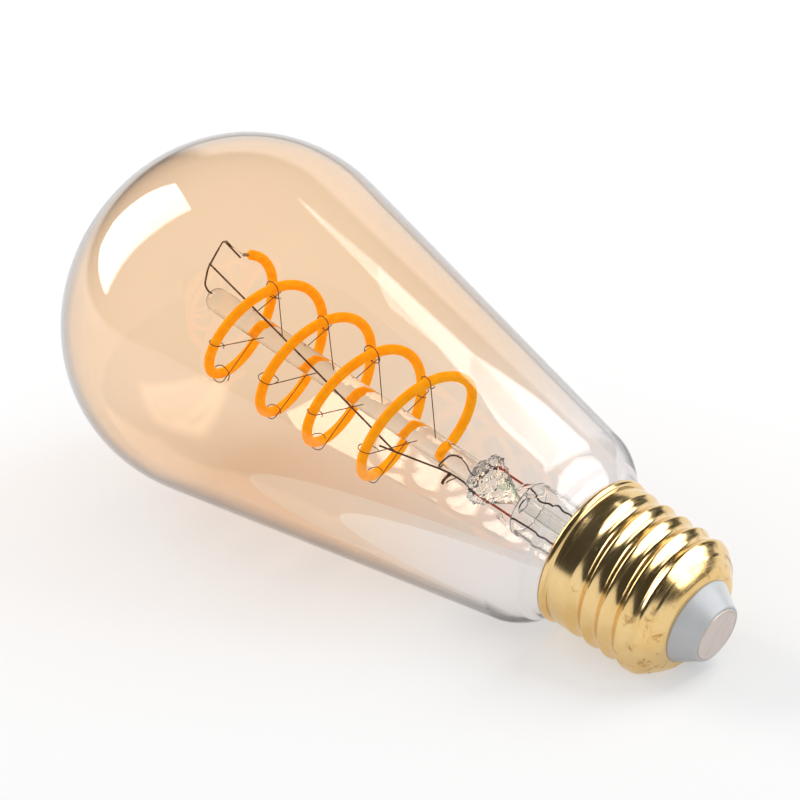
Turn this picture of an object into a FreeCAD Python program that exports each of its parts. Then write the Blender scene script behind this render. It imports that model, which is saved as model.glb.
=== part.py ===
import FreeCAD, Part
import math
import os

from FreeCAD import Vector

# Decorative LED filament lamp with a tapered glass bulb and a threaded metal cap.
# Units are millimetres. The lamp's axis is +Z, from the end contact to the dome.
# The origin is the centre of the end contact's outer face. -Y is the lamp's front.

# ---- glass bulb -----------------------------------------------------------------
overall_length = 136.0
bulb_radius = 32.0          # widest part of the bulb
belly_height = 106.7        # height of the widest ring
shoulder_radius = 18.6      # rounded shoulder above the cap
shoulder_height = 38.8      # centre of the shoulder's round
glass_wall = 0.8
lip_round = 2.5             # curl from the shoulder into the neck
neck_chamfer = 1.0
neck_radius = 11.3
neck_bottom = 17.0
bulb_rim_gap = 0.2          # between the bulb's curl and the cap's rim
inner_run = 4.0             # the wall's inner face is made of straight runs about this long

# ---- cap ------------------------------------------------------------------------
thread_crest_radius = 13.1
thread_root_radius = 12.15
thread_pitch = 3.629
thread_turns = 3.9
thread_start = 9.03         # height of the first groove's middle, where it begins
thread_start_angle = -200.0
thread_run_out = 0.25       # part of a turn over which the groove gets shallow at its ends
thread_steps = 24           # straight steps in a turn of the groove
crest_flat = 0.6
root_flat = 0.8
shell_wall = 0.35
rim_height = 27.5           # top of the cap's rolled rim
rim_radius = 13.54
bead_radius = 0.75
band_radius = 12.95         # plain band between the thread and the rim
band_bottom = 24.7
band_step = 0.4             # height of the slope between the thread's crest and the band
nose_height = 8.3           # top of the rounded nose below the thread
nose_bends = ((0.30, 0.42), (0.08, 0.68))   # shares of the nose's run and drop at its two bends
seat_radius = 7.82          # mouth of the shell around the insulator
seat_height = 4.29
cement_top = 25.6

# ---- insulator and end contact --------------------------------------------------
contact_radius = 4.74
contact_thick = 0.8
contact_crown = 0.12        # the contact's outer edge is eased by this much
insulator_step = 0.15       # the insulator's tip stands this far behind the contact face
insulator_tip_radius = 5.05
insulator_top = 6.3
insulator_plug_radius = 7.1
wire_hole_radius = 0.9

# ---- glass stem -----------------------------------------------------------------
stem_tube_radius = 5.0
stem_tube_wall = 0.7
stem_tube_top = 41.0
flare_top = 27.0            # the flare starts to widen below this height
flare_steps = 4
press_width = 8.6
press_thick = 3.8
press_top = 52.6
# share of the height from the tube to the top, width and thickness against the pinched middle
press_levels = ((0.2, 1.08, 1.5), (0.45, 1.0, 1.0), (0.8, 0.98, 1.0), (1.0, 0.7, 0.9))
rod_radius = 2.1
rod_top = 113.9
exhaust_radius = 1.6
exhaust_bore = 0.8
exhaust_top = 42.0
exhaust_tip = 21.0

# ---- wires ----------------------------------------------------------------------
lead_radius = 0.2
seal_radius = 0.26
lead_spacing = 5.6          # between the two leads in the press
seal_bottom = 42.6
seal_top = 50.2
weld_gap = 0.02             # between two wires that are welded side by side
straight_end = 0.5          # a lead runs straight where it meets its seal wire
return_weld_height = 65.9   # where the return wire meets the left inner lead
lead_spare = 2.9            # the left inner lead ends this far above that weld
lead_reach_x = 5.2          # the left inner lead's upper end, from the lamp's axis
lead_reach_y = 3.3
bend_radius = 1.5           # of a lead wire
soft_bend_radius = 6.0
rod_clear = 0.1             # between the glass rod and a wire that passes it

# ---- light filament -------------------------------------------------------------
coil_radius = 10.4
coil_spacing = 11.36
coil_turns = 4.05
coil_top = 110.5
coil_start_angle = -16.0
filament_radius = 0.78
head_turn = 0.15            # part of a turn in which the upper end widens to the coil
head_radius = 9.7
tail_turn = 0.28            # part of a turn in which the lower end runs in to the stem
tail_radius = 4.0
tab_length = 1.2
tab_radius = 0.3
tab_wire_radius = 0.12      # thin wire from the upper tab to the support wire

# ---- filament hooks -------------------------------------------------------------
hook_radius = 0.12
hook_angles = (-50.0, 50.0, 162.0, 234.0)   # around the axis, four hooks to each turn
hook_lean = 3.3             # a hook leaves the rod this far below the filament
hook_clear = 0.06
hook_root = 0.7             # depth in the rod
hook_wrap = 250.0           # degrees of a hook's bend

# ---- driver inside the cap ------------------------------------------------------
board_width = 14.0
board_thick = 0.8
board_bottom = 6.8
board_top = 18.4
capacitor_radius = 2.4
capacitor_length = 8.0
inductor_radius = 2.1
inductor_length = 4.6
module_width = 7.0
module_height = 8.0
module_thick = 0.8
shield_thick = 1.5
chip_size = 4.2
chip_thick = 1.4
resistor_radius = 0.9
resistor_length = 4.5
hookup_radius = 0.3

UP = Vector(0, 0, 1)
ORIGIN = Vector(0, 0, 0)
nodes = {}


# ---- helpers --------------------------------------------------------------------
def polar(radius, degrees, height):
    """Point at a radius, an angle from +X and a height."""
    a = math.radians(degrees)
    return Vector(radius * math.cos(a), radius * math.sin(a), height)


def flat_point(radius, height):
    """Point in the half plane that a profile is turned in."""
    return Vector(radius, 0, height)


def turned(edges):
    """Solid of revolution about the lamp's axis."""
    face = Part.Face(Part.Wire(edges))
    solid = face.revolve(ORIGIN, UP, 360)
    if solid.Volume < 0:
        solid.reverse()
    return solid


def turned_polygon(points):
    """Solid of revolution of a closed outline of straight runs, (radius, height)."""
    corners = [flat_point(r, z) for r, z in points]
    return turned([Part.makeLine(a, b) for a, b in zip(corners, corners[1:] + corners[:1])])


def arc(centre, radius, start, end):
    """Arc in the profile's half plane, in degrees from +X towards +Z."""
    def at(degrees):
        a = math.radians(degrees)
        return Vector(centre.x + radius * math.cos(a), 0, centre.z + radius * math.sin(a))
    return Part.Arc(at(start), at((start + end) / 2), at(end)).toShape()


def runs_round(centre, radius, start, end, count):
    """Corners of straight runs round an arc in the profile's half plane."""
    corners = []
    for i in range(count + 1):
        a = math.radians(start + (end - start) * i / count)
        corners.append((centre[0] + radius * math.cos(a), centre[1] + radius * math.sin(a)))
    return corners


def ends(edge):
    return edge.valueAt(edge.FirstParameter), edge.valueAt(edge.LastParameter)


def cylinder(radius, length, base, direction=UP):
    return Part.makeCylinder(radius, length, base, direction)


def box(size, centre):
    corner = Vector(centre.x - size[0] / 2, centre.y - size[1] / 2, centre.z - size[2] / 2)
    return Part.makeBox(size[0], size[1], size[2], corner)


def eased_path(points, radius, steps=3):
    """Corners of a bent wire, each turned into a short arc of the given radius."""
    path = [points[0]]
    for before, corner, after in zip(points, points[1:], points[2:]):
        to_start = (before - corner).normalize()
        to_end = (after - corner).normalize()
        half = to_start.getAngle(to_end) / 2
        reach = min(radius / math.tan(half), 0.45 * before.distanceToPoint(corner),
                    0.45 * after.distanceToPoint(corner))
        for i in range(steps + 1):
            t = i / steps
            a = corner + to_start * (reach * (1 - t) ** 2)
            path.append(a + to_end * (reach * t ** 2))
    path.append(points[-1])
    return path


def wire_along(path, radius, sides=8):
    """Wire of a regular section, skinned with straight facets along a path."""
    tangents = []
    for i in range(len(path)):
        before = path[max(i - 1, 0)]
        after = path[min(i + 1, len(path) - 1)]
        tangents.append((after - before).normalize())
    normal = tangents[0].cross(UP if abs(tangents[0].z) < 0.9 else Vector(0, 1, 0)).normalize()
    sections = []
    for i, (point, tangent) in enumerate(zip(path, tangents)):
        normal = (normal - tangent * normal.dot(tangent)).normalize()
        side = tangent.cross(normal)
        spread = 1.0
        if 0 < i < len(path) - 1:
            run = (path[i + 1] - point).normalize()
            spread = 1 / max(run.dot(tangent), 0.7)
        ring = []
        for k in range(sides):
            a = 2 * math.pi * (k + 0.5) / sides
            reach = radius * (1 + 0.5 * (spread - 1))
            ring.append(point + normal * (reach * math.cos(a)) + side * (reach * math.sin(a)))
        sections.append(Part.makePolygon(ring + ring[:1]))
    return Part.makeLoft(sections, True, True)


# ---- glass bulb -----------------------------------------------------------------
def bulb_wall(inset):
    """Edges of one face of the bulb's wall, from the dome's pole down to the neck."""
    belly_r = bulb_radius - inset
    shoulder_r = shoulder_radius - inset
    # The cone touches the belly's round and the shoulder's round.
    slope = math.degrees(math.asin((bulb_radius - shoulder_radius) / (belly_height - shoulder_height)))
    belly = flat_point(0, belly_height)
    shoulder = flat_point(0, shoulder_height)
    # The curl touches the shoulder from inside and is level at its lowest point.
    underside = rim_height + bulb_rim_gap
    curl_z = underside + lip_round
    reach = shoulder_radius - lip_round
    curl_x = math.sqrt(reach ** 2 - (shoulder_height - curl_z) ** 2)
    curl = flat_point(curl_x, curl_z)
    curl_r = lip_round - inset
    turn_angle = math.degrees(math.atan2(curl_z - shoulder_height, curl_x))
    chamfer = neck_chamfer + 0.4 * inset
    corner = flat_point(neck_radius - inset, underside + inset)

    # The dome is a crown round and a side round that touch, close to half an ellipse.
    rise = overall_length - belly_height
    crown_r = bulb_radius ** 2 / rise
    side_r = rise * (bulb_radius + rise) / (2 * bulb_radius)
    crown = flat_point(0, overall_length - crown_r)
    side = flat_point(bulb_radius - side_r, belly_height)
    meet = math.degrees(math.atan2((bulb_radius + rise) / rise, 1 + rise / (2 * bulb_radius)))
    crown_edge = arc(crown, crown_r - inset, 90, meet)
    side_edge = arc(side, side_r - inset, meet, 0)
    belly_edge = arc(belly, belly_r, 0, -slope)
    shoulder_edge = arc(shoulder, shoulder_r, -slope, turn_angle)
    curl_edge = arc(curl, curl_r, turn_angle, -90)
    cone_edge = Part.makeLine(ends(belly_edge)[1], ends(shoulder_edge)[0])
    neck_in = corner + Vector(chamfer, 0, 0)
    neck_top = corner - Vector(0, 0, chamfer)
    under_edge = Part.makeLine(ends(curl_edge)[1], neck_in)
    chamfer_edge = Part.makeLine(neck_in, neck_top)
    neck_edge = Part.makeLine(neck_top, flat_point(neck_radius - inset, neck_bottom))
    return [crown_edge, side_edge, belly_edge, cone_edge, shoulder_edge, curl_edge, under_edge,
            chamfer_edge, neck_edge]


def straight_runs(edges):
    """The same outline in straight edges; a bend is divided into short runs."""
    corners = []
    for edge in edges:
        count = max(2, round(edge.Length / inner_run)) if edge.Curve.TypeId == "Part::GeomCircle" else 1
        first, last = edge.FirstParameter, edge.LastParameter
        corners += [edge.valueAt(first + (last - first) * i / count) for i in range(count)]
    corners.append(ends(edges[-1])[1])
    return [Part.makeLine(a, b) for a, b in zip(corners, corners[1:])]


def glass_envelope():
    outer = bulb_wall(0)
    inner = straight_runs(bulb_wall(glass_wall))
    foot = Part.makeLine(flat_point(neck_radius, neck_bottom),
                         flat_point(neck_radius - glass_wall, neck_bottom))
    crown = Part.makeLine(flat_point(0, overall_length - glass_wall), flat_point(0, overall_length))
    return turned(outer + [foot] + inner[::-1] + [crown])


# ---- cap ------------------------------------------------------------------------
def cap_blank():
    """Rolled shell before its thread is formed."""
    bore = thread_root_radius - shell_wall
    bead = (rim_radius - bead_radius, rim_height - bead_radius)
    nose_drop = nose_height - seat_height
    nose_run = thread_crest_radius - seat_radius
    wall_rise = shell_wall * math.hypot(nose_drop, nose_run) / nose_run
    bends = [(thread_crest_radius - run * nose_run, seat_height + drop * nose_drop)
             for run, drop in nose_bends]
    outside = [(seat_radius, seat_height)] + bends + [
        (thread_crest_radius, nose_height), (thread_crest_radius, band_bottom - band_step),
        (band_radius, band_bottom)]
    neck_in = math.degrees(math.acos((band_radius - bead[0]) / bead_radius))
    rim = runs_round(bead, bead_radius, -neck_in, 180, 6)
    inside = [(bore, nose_height + wall_rise), (bends[0][0], bends[0][1] + wall_rise),
              (seat_radius, seat_height + wall_rise)]
    return turned_polygon(outside + rim + inside)


def thread_groove():
    """Helical groove between the thread's crests, as a solid that is cut away."""
    over = 0.5
    shallow = 0.02
    count = round(thread_turns * thread_steps)
    depth = thread_crest_radius - thread_root_radius
    mouth = thread_pitch - crest_flat
    sections = []
    for i in range(count + 1):
        turns_done = thread_turns * i / count
        ease = max(shallow, min(1.0, turns_done / thread_run_out,
                             (thread_turns - turns_done) / thread_run_out))
        root = thread_crest_radius - depth * ease
        half_mouth = (root_flat + (mouth - root_flat) * ease) / 2
        corners = [(root, -root_flat / 2), (root, root_flat / 2),
                   (thread_crest_radius + over, half_mouth), (thread_crest_radius + over, -half_mouth)]
        turn = FreeCAD.Rotation(UP, thread_start_angle + 360 * turns_done)
        rise = Vector(0, 0, thread_start + thread_pitch * turns_done)
        ring = [turn.multVec(flat_point(r, z)) + rise for r, z in corners]
        sections.append(Part.makePolygon(ring + ring[:1]))
    return Part.makeLoft(sections, True, True)


def cap_insulator():
    return turned_polygon([
        (wire_hole_radius, contact_thick), (contact_radius, contact_thick),
        (contact_radius, insulator_step), (insulator_tip_radius, insulator_step),
        (seat_radius, seat_height),
        (insulator_plug_radius, seat_height + 0.5 * shell_wall),
        (insulator_plug_radius, insulator_top), (wire_hole_radius, insulator_top)])


def end_contact():
    return turned_polygon([(0, 0), (contact_radius - contact_crown, 0), (contact_radius, contact_crown),
                           (contact_radius, contact_thick), (0, contact_thick)])


def cap_cement():
    bore = thread_root_radius - shell_wall
    return turned_polygon([(neck_radius, neck_bottom), (bore, neck_bottom), (bore, cement_top),
                           (neck_radius, cement_top)])


# ---- glass stem -----------------------------------------------------------------
def stem_flare_tube():
    """Tube that widens in a smooth curve and joins the bulb's neck."""
    foot_radius = neck_radius - glass_wall
    outside = [(stem_tube_radius, stem_tube_top)]
    for i in range(flare_steps + 1):
        t = i / flare_steps
        widen = t * t * (3 - 2 * t)
        outside.append((stem_tube_radius + (foot_radius - stem_tube_radius) * widen,
                        flare_top + (neck_bottom - flare_top) * t))
    inside = [(r - stem_tube_wall, z) for r, z in reversed(outside)]
    return turned_polygon(outside + inside)


def oval_section(half_x, half_y, height, sides=20):
    ring = []
    for k in range(sides):
        a = 2 * math.pi * k / sides
        ring.append(Vector(half_x * math.cos(a), half_y * math.sin(a), height))
    return Part.makePolygon(ring + ring[:1])


def stem_press():
    """Flattened end of the stem tube, pinched around the lead wires."""
    rise = press_top - stem_tube_top
    sections = [oval_section(stem_tube_radius, stem_tube_radius, stem_tube_top)]
    for share, wide, thick in press_levels:
        sections.append(oval_section(wide * press_width / 2, thick * press_thick / 2,
                                     stem_tube_top + share * rise))
    return Part.makeLoft(sections, True, True)


def exhaust_tube():
    """Pumping tube, closed by a melted tip at its lower end."""
    tip = exhaust_tip + exhaust_radius
    melted = runs_round((0, tip), exhaust_radius, -90, 0, 4)
    return turned_polygon(melted + [(exhaust_radius, exhaust_top), (exhaust_bore, exhaust_top),
                                    (exhaust_bore, tip), (0, tip)])


# ---- wires ----------------------------------------------------------------------
lead_x = lead_spacing / 2
weld_side = 2 * lead_radius + weld_gap
# The return wire passes in front of the glass rod, and the support wire behind the return wire.
front_y = -(rod_radius + lead_radius + rod_clear)
support_y = front_y + weld_side

left_lead_bends = [(0.5, -0.2, 1.1), (0.3, -0.8, 4.2)]       # from the lead, above the pinched end
right_lead_bends = [(-0.2, 0.3, 0.8), (-0.6, 2.2, 2.2), (-2.4, 2.7, 3.3), (-1.9, 3.0, 5.4)]
left_foot_bends = [(0.1, 0, 34.0), (-0.3, 0, 26.0)]          # from the lead, at a height
right_foot_bends = [(-0.8, 0, 40.2), (0.2, 0, 33.4), (0.4, 0, 26.0)]

inner_left_path = eased_path(
    [Vector(-lead_x, 0, seal_top), Vector(-lead_x, 0, seal_top + straight_end)]
    + [Vector(-lead_x + x, y, press_top + z) for x, y, z in left_lead_bends]
    + [Vector(-lead_reach_x, -lead_reach_y, return_weld_height + lead_spare)], bend_radius)
outer_left_path = eased_path(
    [Vector(-lead_x, 0, seal_bottom), Vector(-lead_x, 0, seal_bottom - straight_end)]
    + [Vector(-lead_x + x, y, z) for x, y, z in left_foot_bends]
    + [Vector(-lead_x + left_foot_bends[-1][0], 0, board_top)], soft_bend_radius)
outer_right_path = eased_path(
    [Vector(lead_x, 0, seal_bottom), Vector(lead_x, 0, seal_bottom - straight_end)]
    + [Vector(lead_x + x, y, z) for x, y, z in right_foot_bends]
    + [Vector(lead_x + right_foot_bends[-1][0], 0, board_top)], 2 * bend_radius)


def coil_point(turns_done, radius=coil_radius):
    """Centre line of the filament after so many turns down from its top end."""
    angle = coil_start_angle + 360 * turns_done
    run_in = max(0.0, turns_done - coil_turns) / tail_turn
    eased = run_in * run_in * (3 - 2 * run_in)
    head = max(0.0, 1 - turns_done / head_turn) ** 2
    drawn = radius + (tail_radius - radius) * eased + (head_radius - radius) * head
    return polar(drawn, angle, coil_top - coil_spacing * turns_done)


def coil_path(steps_per_turn=26):
    total = coil_turns + tail_turn
    steps = round(total * steps_per_turn)
    return [coil_point(total * i / steps) for i in range(steps + 1)]


filament_path = coil_path()
top_tangent = (filament_path[0] - filament_path[1]).normalize()
low_tangent = (filament_path[-1] - filament_path[-2]).normalize()
top_tab_end = filament_path[0] + top_tangent * tab_length
low_tab_end = filament_path[-1] + low_tangent * tab_length
wire_side = lead_radius + tab_radius + weld_gap

# The support wire leaves the rod's end, rises to a corner and comes back beside the filament's end.
support_knots = [
    Vector(0.35, -1.2, rod_top - 1.2), Vector(0.35, -1.2, rod_top), Vector(1.0, -1.55, rod_top + 1.1),
    Vector(3.6, support_y, rod_top + 2.1), Vector(9.15, support_y - 0.4, rod_top + 2.45),
    Vector(8.2, support_y - 0.4, coil_top + 1.0)]
support_path = eased_path(support_knots, bend_radius / 2)


def point_at_height(path, height):
    """Point of a path where it passes the given height."""
    for a, b in zip(path, path[1:]):
        if min(a.z, b.z) <= height <= max(a.z, b.z) and a.z != b.z:
            return a + (b - a) * ((height - a.z) / (b.z - a.z))
    return path[-1]


joint_share = 0.15          # the return wire starts this far along the support wire's long run
support_joint = support_knots[3] + (support_knots[4] - support_knots[3]) * joint_share
lead_weld = point_at_height(inner_left_path, return_weld_height)
beside = Vector(0, -weld_side, 0)
return_path = [support_joint + beside, lead_weld + beside * 1.05]

inner_right_path = eased_path(
    [Vector(lead_x, 0, seal_top), Vector(lead_x, 0, seal_top + straight_end)]
    + [Vector(lead_x + x, y, press_top + z) for x, y, z in right_lead_bends]
    + [Vector(low_tab_end.x, low_tab_end.y, low_tab_end.z - wire_side)], bend_radius)

# A thin wire joins the filament's upper tab to the support wire's last run.
tab_wire_side = Vector(lead_radius + tab_wire_radius + weld_gap, 0, 0)
tab_wire_path = [
    top_tab_end + top_tangent * (2 * tab_wire_radius + weld_gap),
    support_knots[5] * 0.45 + support_knots[4] * 0.55 + tab_wire_side,
    support_knots[5] * 0.2 + support_knots[4] * 0.8 + tab_wire_side]

# A small plate is crimped across the left inner lead, with a thin wire back to the lead.
plate_size = (2.6, 0.25, 0.7)
plate_height = press_top + 3.5
plate_lead = point_at_height(inner_left_path, plate_height)
plate_centre = plate_lead + Vector(0.4 - plate_size[0] / 2,
                                   -(lead_radius + 3 * weld_gap + plate_size[1] / 2), 0)
plate_foot = point_at_height(inner_left_path, plate_height - 1.4)
plate_wire_path = eased_path([
    plate_centre + Vector(-0.9, 0, -plate_size[2] / 2 - tab_wire_radius - weld_gap),
    plate_centre + Vector(-0.2, 0, -plate_size[2] / 2 - tab_wire_radius - weld_gap),
    plate_foot - Vector(0, lead_radius + tab_wire_radius + weld_gap, 0)], bend_radius / 2)


# ---- filament hooks -------------------------------------------------------------
def hook_path(turns_done):
    """Wire from the glass rod, bent round the filament in a plane through the axis."""
    centre = coil_point(turns_done)
    angle = math.degrees(math.atan2(centre.y, centre.x))
    bend = filament_radius + hook_radius + hook_clear
    root = flat_point(rod_radius - hook_root, centre.z - hook_lean)
    eye = flat_point(coil_radius, centre.z)
    across = eye - root
    distance = across.Length
    lift = math.degrees(math.atan2(across.z, across.x))
    # The straight run touches the bend on its lower side.
    first = lift - 90 + math.degrees(math.asin(bend / distance))
    count = 10
    points = [root]
    for i in range(count + 1):
        a = math.radians(first + hook_wrap * i / count)
        points.append(eye + flat_point(math.cos(a), math.sin(a)) * bend)
    turn = FreeCAD.Rotation(UP, angle)
    return [turn.multVec(p) for p in points]


def hook_places():
    """Turns from the filament's top end at which the hooks hold it, from the top down."""
    places = []
    for whole in range(int(coil_turns) + 2):
        for angle in hook_angles:
            turns_done = whole + (angle - coil_start_angle) / 360
            if 0.1 < turns_done < coil_turns - 0.1:
                places.append(turns_done)
    return sorted(places)


# ---- driver ---------------------------------------------------------------------
front = -board_thick / 2
back = board_thick / 2
board_middle = (board_bottom + board_top) / 2


def add_driver():
    nodes["driver_board"] = box((board_width, board_thick, board_top - board_bottom),
                                Vector(0, 0, board_middle))
    capacitor_base = Vector(-board_width / 2 + capacitor_radius + 0.6, front - capacitor_radius,
                            board_middle - capacitor_length / 2)
    nodes["buffer_capacitor"] = cylinder(capacitor_radius, capacitor_length, capacitor_base)
    inductor_base = Vector(board_width / 2 - inductor_radius - 0.8, front - inductor_radius,
                           board_bottom + 0.8)
    drum = cylinder(inductor_radius, inductor_length, inductor_base)
    waist_low = inductor_base + Vector(0, 0, 0.9)
    waist = cylinder(inductor_radius + 1, inductor_length - 1.8, waist_low).cut(
        cylinder(inductor_radius * 0.75, inductor_length - 1.8, waist_low))
    nodes["inductor_core"] = drum.cut(waist)
    nodes["inductor_winding"] = cylinder(inductor_radius * 0.95, inductor_length - 1.8, waist_low).cut(
        cylinder(inductor_radius * 0.75, inductor_length - 1.8, waist_low))
    nodes["driver_chip"] = box((chip_size, chip_thick, chip_size),
                               Vector(inductor_base.x, front - chip_thick / 2,
                                      board_top - 0.6 - chip_size / 2))
    module_centre = Vector(0, back + module_thick / 2, board_top - 0.4 - module_height / 2)
    nodes["radio_board"] = box((module_width, module_thick, module_height), module_centre)
    nodes["radio_shield"] = box((module_width - 1.2, shield_thick, module_height - 2.6),
                                module_centre + Vector(0, (module_thick + shield_thick) / 2, -0.8))
    nodes["bridge_rectifier"] = box((chip_size, chip_thick, 2.4),
                                    Vector(-board_width / 2 + 0.5 + chip_size / 2,
                                           back + chip_thick / 2, board_bottom + 1.6))
    nodes["fuse_resistor"] = cylinder(
        resistor_radius, resistor_length,
        Vector(board_width / 2 - 0.6 - resistor_length, back + resistor_radius, board_bottom + 1.5),
        Vector(1, 0, 0))
    nodes["live_wire"] = cylinder(hookup_radius, board_bottom - contact_thick,
                                  Vector(0, 0, contact_thick))
    bore = thread_root_radius - shell_wall
    nodes["shell_wire"] = wire_along(eased_path([
        Vector(-board_width / 2, 0, board_middle - 2), Vector(-board_width / 2 - 2.2, 0, board_middle - 2),
        Vector(-bore + hookup_radius + 0.05, 0, board_middle + 0.5),
        Vector(-bore + hookup_radius + 0.05, 0, board_middle + 3)], 1.0), hookup_radius)


# ---- assembly -------------------------------------------------------------------
nodes["glass_envelope"] = glass_envelope()
nodes["cap_shell"] = cap_blank().cut(thread_groove())
nodes["cap_insulator"] = cap_insulator()
nodes["end_contact"] = end_contact()
nodes["cap_cement"] = cap_cement()
nodes["stem_flare_tube"] = stem_flare_tube()

nodes["seal_wire_left"] = cylinder(seal_radius, seal_top - seal_bottom, Vector(-lead_x, 0, seal_bottom))
nodes["seal_wire_right"] = cylinder(seal_radius, seal_top - seal_bottom, Vector(lead_x, 0, seal_bottom))
nodes["outer_lead_left"] = wire_along(outer_left_path, lead_radius)
nodes["outer_lead_right"] = wire_along(outer_right_path, lead_radius)
nodes["inner_lead_left"] = wire_along(inner_left_path, lead_radius)
nodes["inner_lead_right"] = wire_along(inner_right_path, lead_radius)
nodes["top_support_wire"] = wire_along(support_path, lead_radius)
nodes["return_wire"] = wire_along(return_path, lead_radius)
nodes["led_filament"] = wire_along(filament_path, filament_radius, 10)
nodes["filament_tab_top"] = wire_along([filament_path[0], top_tab_end], tab_radius, 6)
nodes["filament_tab_wire"] = wire_along(tab_wire_path, tab_wire_radius, 6)
nodes["crimp_plate"] = box(plate_size, plate_centre)
nodes["crimp_wire"] = wire_along(plate_wire_path, tab_wire_radius, 6)
nodes["filament_tab_low"] = wire_along([filament_path[-1], low_tab_end], tab_radius, 6)

exhaust = exhaust_tube()
nodes["exhaust_tube"] = exhaust
held = [nodes[name] for name in ("seal_wire_left", "seal_wire_right", "outer_lead_left",
                                 "outer_lead_right", "inner_lead_left", "inner_lead_right")]
rod = cylinder(rod_radius, rod_top - press_top + 1.5, Vector(0, 0, press_top - 1.5))
nodes["stem_press"] = stem_press().cut([rod, exhaust] + held)

hooks = [wire_along(hook_path(place), hook_radius, 5) for place in hook_places()]
for number, hook in enumerate(hooks, 1):
    nodes["support_hook_%02d" % number] = hook
nodes["stem_rod"] = rod.cut(hooks + [nodes["top_support_wire"]])

add_driver()

os.makedirs("parts", exist_ok=True)
for name, shape in nodes.items():
    solid = shape.Solids[0] if len(shape.Solids) == 1 else shape
    if not solid.isValid() or len(shape.Solids) != 1:
        print("check", name, len(shape.Solids), solid.isValid())
    solid.exportStep("parts/%s.step" % name)
print(len(nodes), "nodes")
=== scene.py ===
"""Decorative LED filament lamp: the visible surfaces, finishes and studio built around its CAD frame."""

import math

import bpy
import numpy as np
from bpy.props import FloatProperty, FloatVectorProperty, PointerProperty
from bpy.types import Operator, Panel, PropertyGroup
from mathutils import Matrix, Vector


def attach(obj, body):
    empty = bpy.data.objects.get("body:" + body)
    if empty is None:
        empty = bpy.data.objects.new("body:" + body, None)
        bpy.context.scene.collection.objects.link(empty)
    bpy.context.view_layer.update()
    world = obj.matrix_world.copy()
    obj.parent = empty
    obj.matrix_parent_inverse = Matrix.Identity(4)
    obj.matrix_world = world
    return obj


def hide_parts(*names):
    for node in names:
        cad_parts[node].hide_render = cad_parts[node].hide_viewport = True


bl_info = {
    "name": "Filament Lamp Parts",
    "version": (1, 0, 0),
    "blender": (4, 5, 0),
    "location": "3D View > Sidebar > Lamp",
    "description": "Builds the bulb, cap, filament, stem and wires of a decorative LED filament lamp",
    "category": "Add Mesh",
}

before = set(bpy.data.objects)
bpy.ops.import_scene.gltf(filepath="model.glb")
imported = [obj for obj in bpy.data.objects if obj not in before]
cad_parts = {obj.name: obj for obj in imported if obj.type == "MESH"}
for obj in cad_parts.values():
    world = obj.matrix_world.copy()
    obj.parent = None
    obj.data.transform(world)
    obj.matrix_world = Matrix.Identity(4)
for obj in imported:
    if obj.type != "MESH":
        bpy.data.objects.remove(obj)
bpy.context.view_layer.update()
MM = 0.001
TURN = 2 * math.pi


# ---- sizes and colours ------------------------------------------------------------
def length(name, description, millimetres):
    return FloatProperty(name=name, description=description, default=millimetres * MM, unit="LENGTH",
                         precision=5)


def number(name, description, default):
    return FloatProperty(name=name, description=description, default=default)


def colour(name, description, default):
    return FloatVectorProperty(name=name, description=description, default=default, size=3,
                               subtype="COLOR", min=0.0, max=1.0)


class LampBulbSettings(PropertyGroup):
    """Sizes and tint of the glass bulb."""
    top: length("Top", "Height of the dome's highest point", 136.0)
    radius: length("Widest radius", "Radius at the belly", 32.0)
    belly: length("Belly height", "Height of the widest ring", 106.7)
    shoulder: length("Shoulder radius", "Rounded shoulder above the cap", 18.6)
    shoulder_height: length("Shoulder height", "Centre of the shoulder's round", 38.8)
    wall: length("Wall", "Thickness of the glass", 0.8)
    neck_top: length("Neck top", "Height where the shoulder starts to run into the neck", 30.0)
    neck: length("Neck radius", "Neck inside the cap", 11.3)
    foot: length("Neck foot", "Lower end of the neck", 17.0)
    amber: colour("Amber coat", "Tint of the coated dome and cone", (0.995, 0.843, 0.69))
    clear: colour("Clear neck", "Tint of the glass beside the cap", (0.97, 0.955, 0.955))
    # Partly painted shade: the wall turns to this greyer tint where it is seen from the side, for the
    # slanting coat and for the dark surroundings refracted at the bulb's edge.
    edge: colour("Coat edge", "Tint of the coat seen from the side", (0.66, 0.60, 0.63))
    tuck: length("Tuck", "The shoulder draws in by this much just above the cap", 1.15)
    tuck_height: length("Tuck height", "Height below which the shoulder draws in", 35.0)
    fade_low: length("Coat starts", "Height where the coat begins to show", 34.0)
    fade_high: length("Coat is full", "Height where the coat has its full tint", 74.0)


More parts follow.
